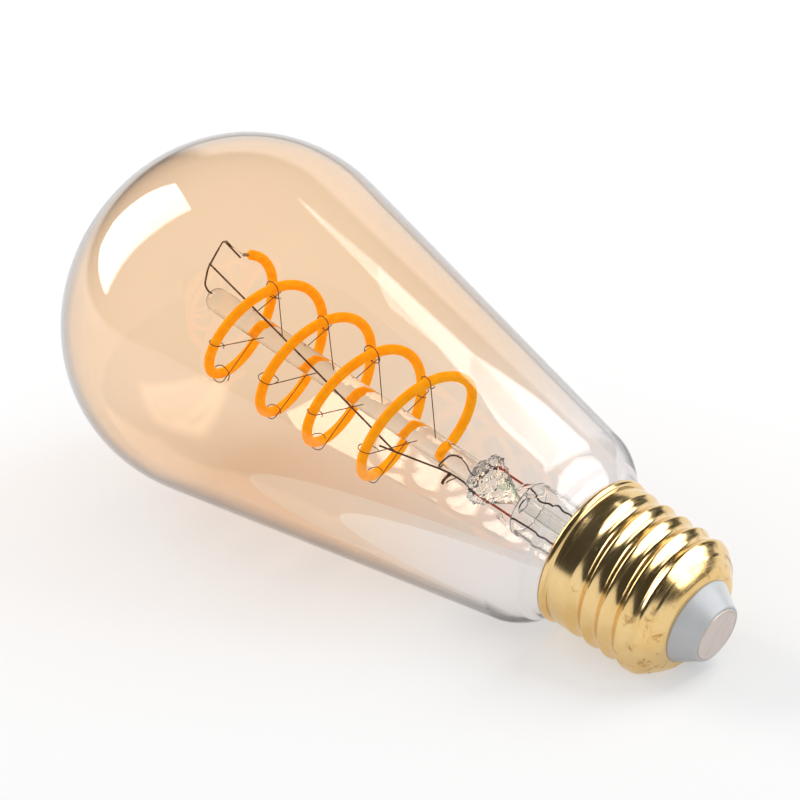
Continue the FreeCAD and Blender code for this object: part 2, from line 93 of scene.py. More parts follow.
class LampCapSettings(PropertyGroup):
    """Sizes and finish of the threaded cap."""
    crest: length("Crest radius", "Radius over the thread", 13.1)
    root: length("Root radius", "Radius in the thread's grooves", 12.15)
    pitch: length("Pitch", "Rise of the thread in a turn", 3.629)
    turns: number("Turns", "Turns of the groove", 3.9)
    start: length("Groove start", "Height of the groove's middle where it begins", 8.45)
    start_angle: number("Start angle", "Where the groove begins", -200.0)
    crest_round: number("Crest round", "0 leaves the crests sharp", 0.26)
    run_out: number("Run out", "Part of a turn over which the groove fades", 0.25)
    rim: length("Rim height", "Top of the rolled rim", 27.5)
    rim_radius: length("Rim radius", "Outside of the rolled rim", 13.54)
    bead: length("Bead radius", "Round of the rolled rim", 0.75)
    band: length("Band radius", "Plain band under the rim", 12.95)
    band_bottom: length("Band bottom", "Lower end of the plain band", 24.7)
    nose: length("Nose height", "Top of the rounded nose", 8.3)
    seat: length("Seat radius", "Mouth of the shell around the insulator", 7.82)
    seat_height: length("Seat height", "Lower edge of the shell", 4.29)
    wall: length("Wall", "Thickness of the shell", 0.35)
    tip: length("Insulator tip radius", "Insulator beside the contact", 5.05)
    step: length("Insulator step", "The insulator's tip stands this far behind the contact", 0.15)
    contact: length("Contact radius", "Radius of the end contact", 4.74)
    brass: colour("Brass", "Bright brass", (0.88, 0.64, 0.31))
    tarnish: colour("Tarnish", "Stains on the brass", (0.40, 0.20, 0.06))
    insulator: colour("Insulator", "Pale insulator", (0.84, 0.86, 0.885))
    nickel: colour("Nickel", "Plated end contact", (0.98, 0.86, 0.79))


class LampFilamentSettings(PropertyGroup):
    """Sizes and colour of the light filament and its hooks."""
    radius: length("Coil radius", "From the lamp's axis to the filament's middle", 10.4)
    pitch: length("Coil pitch", "Drop of the filament in a turn", 11.36)
    turns: number("Turns", "Full turns of the coil", 4.05)
    top: length("Coil top", "Height of the upper end", 110.5)
    start_angle: number("Start angle", "Where the coil begins", -16.0)
    head_turn: number("Head", "Part of a turn in which the upper end widens", 0.15)
    head_radius: length("Head radius", "Radius at the upper end", 9.7)
    tail_turn: number("Tail", "Part of a turn that runs in to the stem", 0.28)
    tail_radius: length("Tail radius", "Radius at the lower end", 4.0)
    strand: length("Strand radius", "Radius of the filament itself", 0.88)
    tab: length("Tab length", "Metal end of the filament", 1.2)
    hook: length("Hook radius", "Radius of the hook wire", 0.085)
    hook_lean: length("Hook lean", "A hook leaves the rod this far below the filament", 3.3)
    hook_gap: length("Hook gap", "Room between a hook's loop and the filament", 0.5)
    hook_sweep: number("Hook sweep", "Degrees of a hook's loop", 315.0)
    phosphor: colour("Phosphor", "Silicone coat of the filament", (1.0, 0.36, 0.0))
    # Painted glow: the filament is unlit, and this is light of its own added to make it brighter.
    glow: number("Glow", "Light that the phosphor gives back", 0.55)
    hook_wire: colour("Hook wire", "Brown oxidised wire", (0.20, 0.115, 0.07))


class LampStemSettings(PropertyGroup):
    """Sizes of the glass stem and its wires."""
    rod: length("Rod radius", "Glass rod on the axis", 2.1)
    rod_top: length("Rod top", "Top of the glass rod", 113.9)
    press_top: length("Press top", "Top of the pinched end", 52.6)
    press_low: length("Press bottom", "Where the pressed glass runs out", 43.4)
    press_width: length("Press width", "Wide side of the pinched end", 8.6)
    press_thick: length("Press thickness", "Thin side of the pinched end", 3.8)
    tube: length("Tube radius", "Outside of the stem tube", 5.0)
    tube_wall: length("Tube wall", "Wall of the stem tube", 0.7)
    tube_top: length("Tube top", "Where the tube meets the pinched end", 41.0)
    flare: length("Flare top", "Where the tube starts to widen", 27.0)
    exhaust: length("Pumping tube radius", "Outside of the pumping tube", 1.6)
    exhaust_bore: length("Pumping tube bore", "Inside of the pumping tube", 0.8)
    exhaust_top: length("Pumping tube top", "Upper end of the pumping tube", 42.0)
    exhaust_tip: length("Pumping tube tip", "Melted lower end of the pumping tube", 21.0)
    lead: length("Lead radius", "Radius of the lead wires", 0.17)
    fine: length("Fine wire radius", "Radius of the thin wires at the tab and the crimp", 0.1)
    seal: length("Seal radius", "Radius of the sealed wires", 0.2)
    lead_x: length("Lead offset", "From the axis to a lead in the pinched end", 2.8)
    seal_low: length("Seal bottom", "Lower end of the sealed wires", 42.6)
    seal_high: length("Seal top", "Upper end of the sealed wires", 50.2)
    glass: colour("Stem glass", "Faint tint of the stem's glass", (0.97, 0.975, 0.965))
    green: colour("Glass green", "Green streaks in the pinched glass", (0.30, 0.62, 0.46))
    wire: colour("Dark wire", "Oxidised nickel wire", (0.17, 0.115, 0.085))
    copper: colour("Seal copper", "Copper sealed in the glass", (0.72, 0.13, 0.07))


class LampStageSettings(PropertyGroup):
    """Camera, floor and light levels."""
    eye: FloatVectorProperty(name="Eye", description="Where the camera stands", size=3, subtype="TRANSLATION",
                             unit="LENGTH", default=(0.0, -803.06 * MM, -340.92 * MM))
    lens: number("Lens", "Focal length in millimetres", 241.04)
    floor: colour("Floor", "Pale floor", (0.53, 0.53, 0.53))
    floor_glow: number("Floor glow", "Added where the floor is looked at", 0.45)
    floor_lift: length("Floor offset", "From the origin to the floor plane", -7.0)
    floor_size: length("Floor size", "Side of the floor", 6000.0)
    key_power: number("Key power", "Power of the left lamp in watts", 4.6)
    fill_power: number("Fill power", "Power of the right lamp in watts", 3.6)
    box_glow: number("Softbox glow", "Brightness of a softbox in reflections", 7.0)
    card_glow: number("Card glow", "Brightness of the near softbox in reflections", 4.5)
    ambient: number("Ambient", "Level of the light from all sides", 0.5)
    dim: number("Dark side", "Level of the dark side in reflections", 0.06)


# ---- meshes -----------------------------------------------------------------------
def link_mesh(name, points, faces_of):
    """Object of a mesh from an (n, 3) array of points and a list of face arrays, each (m, corners)."""
    mesh = bpy.data.meshes.new(name)
    mesh.vertices.add(len(points))
    mesh.vertices.foreach_set("co", np.ascontiguousarray(points, np.float32).ravel())
    loops = np.concatenate([f.ravel() for f in faces_of])
    totals = np.concatenate([np.full(len(f), f.shape[1]) for f in faces_of])
    mesh.loops.add(len(loops))
    mesh.loops.foreach_set("vertex_index", loops.astype(np.int32))
    mesh.polygons.add(len(totals))
    mesh.polygons.foreach_set("loop_start", (np.cumsum(totals) - totals).astype(np.int32))
    mesh.polygons.foreach_set("loop_total", totals.astype(np.int32))
    mesh.update(calc_edges=True)
    mesh.validate()
    mesh.shade_smooth()
    thing = bpy.data.objects.new(name, mesh)
    bpy.context.scene.collection.objects.link(thing)
    return thing


def grid_faces(rows, columns, wrap_rows=False, first=0):
    """Quads of a grid of rings; columns always close, rows close when asked."""
    across = np.arange(rows if wrap_rows else rows - 1)[:, None]
    round_it = np.arange(columns)[None, :]
    nxt = (across + 1) % rows
    turn = (round_it + 1) % columns
    quads = np.stack([across * columns + round_it, across * columns + turn,
                      nxt * columns + turn, nxt * columns + round_it], -1)
    return quads.reshape(-1, 4) + first


def skin_parts(rings, closed=False, first=0):
    """Points and faces over an (rows, columns, 3) array of rings. Open ends close on a pole, the mean of
    the end ring. Returned so that several skins can share one mesh."""
    rows, columns, _ = rings.shape
    points = rings.reshape(-1, 3)
    quads = grid_faces(rows, columns, closed, first)
    if closed:
        return points, [quads]
    poles = np.stack([rings[0].mean(0), rings[-1].mean(0)])
    low, high = first + rows * columns, first + rows * columns + 1
    k = np.arange(columns)
    turn = (k + 1) % columns
    start = np.stack([np.full(columns, low), first + turn, first + k], -1)
    end_row = first + (rows - 1) * columns
    stop = np.stack([np.full(columns, high), end_row + k, end_row + turn], -1)
    return np.vstack([points, poles]), [quads, start, stop]


def skin(name, rings_of, closed=False):
    """One object over one or several arrays of rings."""
    points, faces, first = [], [], 0
    for rings in rings_of:
        some, of_faces = skin_parts(rings, closed, first)
        points.append(some)
        faces += of_faces
        first += len(some)
    return link_mesh(name, np.vstack(points), faces)


def turned_rings(radius, height, columns):
    """Rings of a turned surface: point(i, a) = (r_i cos a, r_i sin a, z_i). The radius may vary with the
    angle too."""
    angle = np.linspace(0, TURN, columns, endpoint=False)[None, :]
    radius = np.asarray(radius)
    radius = radius[:, None] if radius.ndim == 1 else radius
    height = np.asarray(height)
    height = height[:, None] if height.ndim == 1 else height
    shape = (radius.shape[0], columns)
    return np.stack([np.broadcast_to(radius * np.cos(angle), shape),
                     np.broadcast_to(radius * np.sin(angle), shape),
                     np.broadcast_to(height, shape)], -1)


def arc_line(centre_r, centre_z, radius, start, end, count):
    """Points (r, z) along an arc: centre + radius (cos t, sin t), t from start to end degrees."""
    t = np.radians(np.linspace(start, end, count))
    return np.stack([centre_r + radius * np.cos(t), centre_z + radius * np.sin(t)], -1)


def straight_line(start, end, count):
    """Points from start to end: start (1 - t) + end t, t from 0 to 1."""
    t = np.linspace(0, 1, count)[:, None]
    return np.asarray(start) * (1 - t) + np.asarray(end) * t


def thinned(line):
    """Profile without its repeated points."""
    keep = np.concatenate([[True], np.hypot(*np.diff(line, axis=0).T) > 1e-7])
    return line[keep]


def curve_through(points, per_run=12):
    """Smooth line through the given points: on each run a cubic whose slope at a point is half the step
    between its neighbours."""
    points = np.asarray(points, float)
    padded = np.vstack([2 * points[0] - points[1], points, 2 * points[-1] - points[-2]])
    p0, p1, p2, p3 = padded[:-3], padded[1:-2], padded[2:-1], padded[3:]
    t = np.linspace(0, 1, per_run, endpoint=False)[None, :, None]
    p0, p1, p2, p3 = (p[:, None] for p in (p0, p1, p2, p3))
    runs = 0.5 * (2 * p1 + (p2 - p0) * t + (2 * p0 - 5 * p1 + 4 * p2 - p3) * t ** 2
                  + (3 * p1 - p0 - 3 * p2 + p3) * t ** 3)
    return np.vstack([runs.reshape(-1, points.shape[1]), points[-1:]])


def bent_line(points, ease, per_bend=6):
    """Straight runs joined by bends: at each inner point a quadratic curve with that point as its handle,
    from the place so far before it to the place so far after it."""
    points = np.asarray(points, float)
    corner = points[1:-1]
    back, fore = points[:-2] - corner, points[2:] - corner
    back_run = np.linalg.norm(back, axis=1, keepdims=True)
    fore_run = np.linalg.norm(fore, axis=1, keepdims=True)
    cut = np.minimum(ease, 0.45 * np.minimum(back_run, fore_run))
    start, end = (corner + back / back_run * cut)[:, None], (corner + fore / fore_run * cut)[:, None]
    t = np.linspace(0, 1, per_bend)[None, :, None]
    bends = start * (1 - t) ** 2 + 2 * corner[:, None] * t * (1 - t) + end * t ** 2
    return np.vstack([points[:1], bends.reshape(-1, 3), points[-1:]])


def tube_rings(path, radius, columns=10, round_ends=4):
    """Rings of a round wire: path + radius (side cos a + up sin a), where side and up stand square to the
    path's direction. The radius shrinks over a quarter circle at both ends."""
    path = np.array(path, float)
    radius = np.broadcast_to(np.asarray(radius, float), len(path)).copy()
    tangent = np.gradient(path, axis=0)
    tangent /= np.linalg.norm(tangent, axis=1, keepdims=True)
    if round_ends:
        q = np.radians(np.linspace(90, 0, round_ends, endpoint=False))
        path[0] += tangent[0] * radius[0]
        path[-1] -= tangent[-1] * radius[-1]
        head = path[0] - tangent[0] * (radius[0] * np.sin(q))[:, None]
        tail = path[-1] + tangent[-1] * (radius[-1] * np.sin(q))[::-1, None]
        path = np.vstack([head, path, tail])
        radius = np.concatenate([radius[0] * np.maximum(np.cos(q), 0.02), radius,
                                 radius[-1] * np.maximum(np.cos(q), 0.02)[::-1]])
        tangent = np.vstack([np.repeat(tangent[:1], round_ends, 0), tangent,
                             np.repeat(tangent[-1:], round_ends, 0)])
    _, _, axes = np.linalg.svd(tangent, full_matrices=False)
    flat = axes[-1]
    side = np.cross(tangent, flat)
    side /= np.linalg.norm(side, axis=1, keepdims=True)
    up = np.cross(tangent, side)
    angle = np.linspace(0, TURN, columns, endpoint=False)[None, :, None]
    return (path[:, None] + radius[:, None, None]
            * (side[:, None] * np.cos(angle) + up[:, None] * np.sin(angle)))


def outwards(thing):
    """Turns a closed piece's faces outwards when the volume that they enclose comes out negative."""
    mesh = thing.data
    mesh.calc_loop_triangles()
    corners = np.zeros(len(mesh.loop_triangles) * 3, np.int32)
    mesh.loop_triangles.foreach_get("vertices", corners)
    co = np.zeros(len(mesh.vertices) * 3, np.float32)
    mesh.vertices.foreach_get("co", co)
    a, b, c = np.moveaxis(co.reshape(-1, 3)[corners.reshape(-1, 3)].astype(float), 1, 0)
    if np.einsum("ij,ij->", a, np.cross(b, c)) < 0:
        mesh.flip_normals()
    return thing


def finished(thing, finish, slot_name, *nodes):
    """Gives a piece its finish, lets it ride on the lamp and hides the CAD nodes it stands for. The slot name
    is not used.
    """
    outwards(thing)
    thing.data.materials.append(finish)
    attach(thing, "root")
    if nodes:
        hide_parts(*nodes)
    return thing


def nodes_like(start):
    return sorted(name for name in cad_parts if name.startswith(start))


def smooth_step(value):
    """0 below 0, 1 above 1 and 3t^2 - 2t^3 between."""
    t = np.clip(value, 0, 1)
    return t * t * (3 - 2 * t)


# ---- finishes ---------------------------------------------------------------------
class Nodes:
    """A node tree and short calls that add nodes to it."""

    def __init__(self, tree):
        self.tree = tree

    def add(self, kind, inputs=None, **settings):
        node = self.tree.nodes.new(kind)
        for key, value in settings.items():
            setattr(node, key, value)
        for key, value in (inputs or {}).items():
            if isinstance(value, bpy.types.NodeSocket):
                self.tree.links.new(value, node.inputs[key])
            else:
                node.inputs[key].default_value = value
        return node

    def sum(self, operation, a, b=0.0, clamp=False):
        return self.add("ShaderNodeMath", {0: a, 1: b}, operation=operation, use_clamp=clamp).outputs[0]

    def over(self, value, limit):
        """1 where the value is over the limit, otherwise 0."""
        return self.sum("GREATER_THAN", value, limit)

    def between(self, value, low, high, out_low=0.0, out_high=1.0):
        """Eases from one output to the other while the value goes from low to high."""
        node = self.add("ShaderNodeMapRange", {"Value": value, "From Min": low, "From Max": high,
                                               "To Min": out_low, "To Max": out_high})
        node.interpolation_type = "SMOOTHSTEP"
        return node.outputs[0]


class Finish(Nodes):
    """A material and short calls that add nodes to it."""

    def __init__(self, name):
        self.material = bpy.data.materials.new(name)
        self.material.use_nodes = True
        super().__init__(self.material.node_tree)
        self.shader = self.tree.nodes["Principled BSDF"]
        self.output = self.tree.nodes["Material Output"]

    def place(self):
        return self.add("ShaderNodeTexCoord").outputs["Object"]

    def parts(self, vector):
        return self.add("ShaderNodeSeparateXYZ", {0: vector}).outputs

    def scaled(self, vector, x, y, z):
        return self.add("ShaderNodeMapping", {"Vector": vector, "Scale": (x, y, z)}).outputs[0]

    def noise(self, vector, scale, detail=3.0, rough=0.5, distortion=0.0):
        return self.add("ShaderNodeTexNoise", {"Vector": vector, "Scale": scale, "Detail": detail,
                                               "Roughness": rough, "Distortion": distortion}).outputs["Fac"]

    def blend(self, share, a, b):
        node = self.add("ShaderNodeMix", data_type="RGBA")
        for key, value in (("Factor_Float", share), ("A_Color", a), ("B_Color", b)):
            socket = next(s for s in node.inputs if s.identifier == key)
            if isinstance(value, bpy.types.NodeSocket):
                self.tree.links.new(value, socket)
            else:
                socket.default_value = tuple(value) + (1.0,) if key != "Factor_Float" else value
        return next(s for s in node.outputs if s.identifier == "Result_Color")

    def relief(self, height, strength, distance):
        bump = self.add("ShaderNodeBump", {"Height": height, "Strength": strength, "Distance": distance})
        self.tree.links.new(bump.outputs[0], self.shader.inputs["Normal"])

    def set(self, **values):
        """Sets the shader's sockets, given as Base_Color=... and so on."""
        for key, value in values.items():
            socket = self.shader.inputs[key.replace("_", " ")]
            if isinstance(value, bpy.types.NodeSocket):
                self.tree.links.new(value, socket)
            else:
                socket.default_value = tuple(value) + (1.0,) if key == "Base_Color" else value
        return self

    def mixed(self, share, first, second):
        """Shows the first shader where the share is 0 and the second where it is 1."""
        mix = self.add("ShaderNodeMixShader", {0: share, 1: first, 2: second})
        self.tree.links.new(mix.outputs[0], self.output.inputs["Surface"])

    def let_lamps_in(self, tint):
        """Light from the lamps reaches what the glass shuts in: rays towards a lamp pass straight on."""
        path = self.add("ShaderNodeLightPath")
        clear = self.add("ShaderNodeBsdfTransparent", {"Color": tint})
        self.mixed(path.outputs["Is Shadow Ray"], self.shader.outputs[0], clear.outputs[0])


def bulb_glass_finish(s):
    """Clear neck that turns amber above, and turns greyer where the wall is seen from the side: partly the
    coat seen at a slant, partly painted shade for the dark surroundings that the bulb's edge refracts.
    """
    f = Finish("amber_bulb_glass")
    place = f.place()
    height = f.parts(place)[2]
    drift = f.noise(place, 18.0, 2.0)
    level = f.sum("ADD", height, f.between(drift, 0.3, 0.7, -5 * MM, 5 * MM))
    coat = f.between(level, s.fade_low, s.fade_high)
    face = f.blend(coat, tuple(s.clear), tuple(s.amber))
    # Greyer where the wall is seen from the side: partly the coat at a slant, partly painted shade for the
    # dark surroundings refracted at the edge.
    facing = f.add("ShaderNodeLayerWeight", {"Blend": 0.35}).outputs["Facing"]
    rim = f.between(facing, 0.60, 0.72)
    tint = f.blend(rim, face, tuple(s.edge))
    f.set(Base_Color=tint, Roughness=0.0, IOR=1.48, Transmission_Weight=1.0)
    waves = f.noise(f.scaled(place, 1.0, 1.0, 0.6), 55.0, 1.0)
    f.relief(waves, 0.10, 0.35 * MM)
    f.let_lamps_in(f.blend(coat, (0.97, 0.97, 0.97), (0.96, 0.88, 0.80)))
    return f.material


def stem_glass_finish(s, name="stem_glass", strength=0.2, scale=300.0, index=1.3, green=0.0, tint=None):
    """Clear pressed glass with a wavy, slightly lumpy face, and green streaks where the iron shows."""
    f = Finish(name)
    place = f.place()
    seeds = f.noise(place, scale * 4, 2.0)
    tint = f.blend(f.between(seeds, 0.55, 0.75), tint or tuple(s.glass), (0.90, 0.90, 0.88))
    if green:
        streak = f.between(f.noise(f.scaled(place, 1.0, 1.0, 0.6), 330.0, 2.0), 0.53, 0.64, 0.0, green)
        tint = f.blend(streak, tint, tuple(s.green))
    f.set(Base_Color=tint, Roughness=0.0, Transmission_Weight=1.0, IOR=index)
    f.relief(f.noise(place, scale, 2.0), strength, 0.5 * MM)
    f.let_lamps_in((0.96, 0.96, 0.95, 1.0))
    return f.material


def cap_brass_finish(s):
    """Rolled brass: fine scratches round the shell, small brown specks, and stains that gather on the nose
    and in the grooves."""
    f = Finish("cap_brass")
    place = f.place()
    x, y, z = f.parts(place)[0], f.parts(place)[1], f.parts(place)[2]
    reach = f.sum("SQRT", f.sum("ADD", f.sum("MULTIPLY", x, x), f.sum("MULTIPLY", y, y)))
    groove = f.between(reach, s.root + 0.1 * MM, s.crest - 0.1 * MM, 1.0, 0.0)
    low = f.between(z, s.nose - 1.0 * MM, s.nose + 9.0 * MM, 1.0, 0.0)
    place_for_stain = f.sum("ADD", f.sum("MULTIPLY", groove, 0.03), f.sum("MULTIPLY", low, 0.06))
    blotch = f.noise(place, 420.0, 5.0, 0.66, 0.4)
    stain = f.between(f.sum("ADD", place_for_stain, blotch), 0.63, 0.80)
    fine = f.noise(place, 2200.0, 3.0, 0.6)
    speckle = f.between(fine, 0.62, 0.76, 0.0, 0.5)
    dirt = f.sum("MULTIPLY", f.sum("MAXIMUM", stain, speckle), 0.75, True)
    tone = f.between(f.noise(place, 130.0, 3.0), 0.35, 0.7)
    bright = f.blend(tone, tuple(s.brass), (0.82, 0.55, 0.22))
    f.set(Base_Color=f.blend(dirt, bright, tuple(s.tarnish)), Metallic=1.0)
    scratches = f.noise(f.scaled(place, 1.0, 1.0, 22.0), 260.0, 3.0, 0.65)
    rough = f.sum("ADD", f.between(scratches, 0.3, 0.7, 0.13, 0.24), f.sum("MULTIPLY", dirt, 0.2))
    f.set(Roughness=rough)
    f.relief(f.sum("ADD", f.sum("MULTIPLY", scratches, 0.6), fine), 0.08, 0.05 * MM)
    return f.material


def insulator_finish(s):
    """Pale moulded insulator with a fine grain."""
    f = Finish("pale_insulator")
    place = f.place()
    cloud = f.noise(place, 160.0, 3.0)
    base = f.blend(f.between(cloud, 0.3, 0.7), tuple(s.insulator), tuple(c * 0.94 for c in s.insulator))
    f.set(Base_Color=base, Roughness=0.34, IOR=1.5, Subsurface_Weight=0.12, Subsurface_Scale=1.0 * MM)
    f.relief(f.noise(place, 2400.0, 2.0), 0.06, 0.04 * MM)
    return f.material


def nickel_finish(s):
    """Satin plated contact with faint rubs."""
    f = Finish("contact_nickel")
    place = f.place()
    rubs = f.noise(f.scaled(place, 1.0, 2.5, 1.0), 300.0, 3.0, 0.55)
    base = f.blend(f.between(rubs, 0.4, 0.8), tuple(s.nickel), tuple(c * 0.9 for c in s.nickel))
    f.set(Base_Color=base, Metallic=0.2, Roughness=f.between(rubs, 0.3, 0.7, 0.38, 0.50))
    f.relief(rubs, 0.03, 0.03 * MM)
    return f.material


def phosphor_finish(s):
    """Orange silicone over the filament, a little cloudy, with faint chips showing through, and a painted
    glow: the filament is unlit, yet it gives off light of its own so that it reads brighter.
    """
    f = Finish("filament_phosphor")
    place = f.place()
    cloud = f.noise(place, 700.0, 2.0)
    base = f.blend(f.between(cloud, 0.35, 0.65), tuple(s.phosphor), (1.0, 0.42, 0.005))
    # The emission is a painted glow: the unlit filament gives off light of its own, in its own colour.
    f.set(Base_Color=base, Roughness=0.5, Specular_IOR_Level=0.15, Subsurface_Weight=0.3,
          Subsurface_Scale=0.5 * MM, Emission_Color=base, Emission_Strength=s.glow)
    f.shader.inputs["Subsurface Radius"].default_value = (1.0, 0.45, 0.12)
    f.relief(f.noise(place, 1800.0, 2.0), 0.10, 0.05 * MM)
    return f.material


def wire_finish(name, base, rough=0.38, metal=0.55, scale=900.0):
    """Drawn wire with oxide that comes and goes along it."""
    f = Finish(name)
    place = f.place()
    cloud = f.noise(place, scale, 3.0, 0.6)
    worn = tuple(min(1.0, c * 1.7 + 0.02) for c in base)
    f.set(Base_Color=f.blend(f.between(cloud, 0.42, 0.72), tuple(base), worn), Metallic=metal,
          Roughness=f.between(cloud, 0.3, 0.7, rough - 0.1, rough + 0.1))
    f.relief(cloud, 0.1, 0.03 * MM)
    return f.material


def plain_finish(name, low, high, rough=0.5, metal=0.0, scale=500.0, strength=0.1, stretch=(1, 1, 1)):
    """Two tones in a fine grain, for the pieces hidden in the cap."""
    f = Finish(name)
    grain = f.noise(f.scaled(f.place(), *stretch), scale, 3.0, 0.6)
    f.set(Base_Color=f.blend(f.between(grain, 0.3, 0.7), low, high), Metallic=metal,
          Roughness=f.between(grain, 0.3, 0.7, max(0.05, rough - 0.08), rough + 0.08))
    f.relief(grain, strength, 0.05 * MM)
    return f.material


# ---- bulb -------------------------------------------------------------------------
# How the shoulder runs into the neck, over the cap's rolled rim: millimetres outside the neck's radius and
# below the neck's top.
NECK_BEND = ((3.15, 0.8), (2.4, 1.5), (1.65, 2.2), (1.05, 2.58), (0.68, 3.2), (0.3, 4.2), (0.02, 5.8),
             (0.0, 7.5))
# The wall's inner face follows the bend this far up for each millimetre inwards.
BEND_RISE = 0.6


def bulb_profile(s, inset):
    """Profile (r, z) of one face of the wall from the dome's pole down to the neck's foot: crown round,
    side round, belly round, straight cone, shoulder round, the bend over the cap's rim and the straight
    neck, each set inwards by the inset."""
    belly_r, shoulder_r = s.radius - inset, s.shoulder - inset
    rise = s.top - s.belly
    crown_r, side_r = s.radius ** 2 / rise, rise * (s.radius + rise) / (2 * s.radius)
    crown_z, side_x = s.top - crown_r, s.radius - side_r
    meet = math.degrees(math.atan2((s.radius + rise) / rise, 1 + rise / (2 * s.radius)))
    slope = math.degrees(math.asin((s.radius - s.shoulder) / (s.belly - s.shoulder_height)))
    turn = math.degrees(math.asin((s.neck_top - s.shoulder_height) / s.shoulder))
    crown = arc_line(0, crown_z, crown_r - inset, 89.6, meet, 26)
    side = arc_line(side_x, s.belly, side_r - inset, meet, 0, 26)
    belly = arc_line(0, s.belly, belly_r, 0, -slope, 12)
    shoulder = arc_line(0, s.shoulder_height, shoulder_r, -slope, turn, 26)
    low = (s.tuck_height - shoulder[:, 1]) / (s.tuck_height - s.neck_top)
    shoulder[:, 0] -= s.tuck * np.clip(low, 0, 1) ** 2
    cone = straight_line(belly[-1], shoulder[0], 36)
    bend = np.array([(s.neck + out * MM - inset, s.neck_top - down * MM) for out, down in NECK_BEND])
    bend[:-2, 1] += BEND_RISE * inset
    into = curve_through(np.vstack([shoulder[-1:], bend]), 6)[1:]
    neck = straight_line(into[-1], (s.neck - inset, s.foot), 6)
    return thinned(np.vstack([crown, side, belly, cone, shoulder, into, neck]))


class LAMP_OT_bulb(Operator):
    """Blow the amber glass bulb with its real wall"""
    bl_idname = "lamp.bulb"
    bl_label = "Glass bulb"

    def execute(self, context):
        s = context.scene.lamp_bulb
        line = np.vstack([bulb_profile(s, 0.0), bulb_profile(s, s.wall)[::-1]])
        rings = turned_rings(line[:, 0], line[:, 1], 176)
        finished(skin("bulb_glass_shell", [rings]), bulb_glass_finish(s), "bulb_glass", "glass_envelope")
        return {"FINISHED"}


# ---- cap --------------------------------------------------------------------------
def groove_depth(s, angle, height):
    """Share of the thread's depth at an angle and height: wide round valleys between narrow crests, the
    length of (cos of the distance to the groove's nearest turn, crest round) less the crest round, over
    its greatest value, faded at the groove's two ends."""
    turned = (angle - math.radians(s.start_angle)) / TURN
    turned = turned - np.floor(turned)
    along = (height - s.start) / s.pitch
    turn = np.round(along - turned)
    place = turn + turned
    away = along - place
    e = s.crest_round
    valley = (np.hypot(np.cos(math.pi * away), e) - e) / (math.hypot(1, e) - e)
    fade = smooth_step(place / s.run_out) * smooth_step((s.turns - place) / s.run_out)
    return valley * fade


# The nose between the thread and the shell's mouth: how far in from the crest and how far up from the lower
# edge, as parts of the nose's width and height.
NOSE_ROUND = ((0.85, 0.02), (0.72, 0.09), (0.51, 0.31), (0.245, 0.65), (0.066, 0.92))


def cap_profile(s):
    """Profile (r, z, groove weight) round the section of the rolled shell, outside upwards, over the
    rolled rim and down inside."""
    run, drop = s.crest - s.seat, s.nose - s.seat_height
    mouth = [(s.seat - 0.10 * MM, s.seat_height + 0.18 * MM), (s.seat, s.seat_height)]
    bend = [(s.crest - inward * run, s.seat_height + up * drop) for inward, up in NOSE_ROUND]
    nose = curve_through(mouth + bend + [(s.crest, s.nose + 0.6 * MM)], 7)
    last_crest = (s.crest, s.band_bottom - 0.9 * MM)
    thread = straight_line(nose[-1], last_crest, 132)[1:]
    bead_r, bead_z = s.rim_radius - s.bead, s.rim - s.bead
    step = curve_through([last_crest, (s.crest - 0.05 * MM, s.band_bottom - 0.3 * MM),
                          (s.band, s.band_bottom + 0.35 * MM), (s.band - 0.12 * MM, bead_z - 1.2 * s.bead),
                          (s.band - 0.02 * MM, bead_z - 0.9 * s.bead)], 6)[1:]
    bead = arc_line(bead_r, bead_z, s.bead, -52, 182, 22)
    bore = s.root - s.wall
    rise = s.wall * math.hypot(drop, run) / run
    inside = np.array([(bore, bead_z), (bore, s.nose + rise),
                       (s.crest - 0.30 * run, s.seat_height + 0.42 * drop + rise),
                       (s.seat, s.seat_height + rise)])
    line = np.vstack([nose, thread, step, bead, inside])
    weight = np.zeros(len(line))
    outside = len(nose) + len(thread) + len(step)
    z = line[:outside, 1]
    weight[:outside] = smooth_step((z - s.seat_height) / (0.9 * drop)) * smooth_step(
        (s.band_bottom + 0.3 * MM - z) / (1.2 * MM))
    return line[:, 0], line[:, 1], weight


class LAMP_OT_cap(Operator):
    """Roll the threaded brass cap"""
    bl_idname = "lamp.cap"
    bl_label = "Threaded cap"

    def execute(self, context):
        s = context.scene.lamp_cap
        radius, height, weight = cap_profile(s)
        columns = 288
        angle = np.linspace(0, TURN, columns, endpoint=False)[None, :]
        cut = groove_depth(s, angle, height[:, None]) * weight[:, None] * (s.crest - s.root)
        rings = turned_rings(radius[:, None] - cut, height, columns)
        finished(skin("cap_screw_shell", [rings], closed=True), cap_brass_finish(s), "cap_brass",
                 "cap_shell")
        return {"FINISHED"}


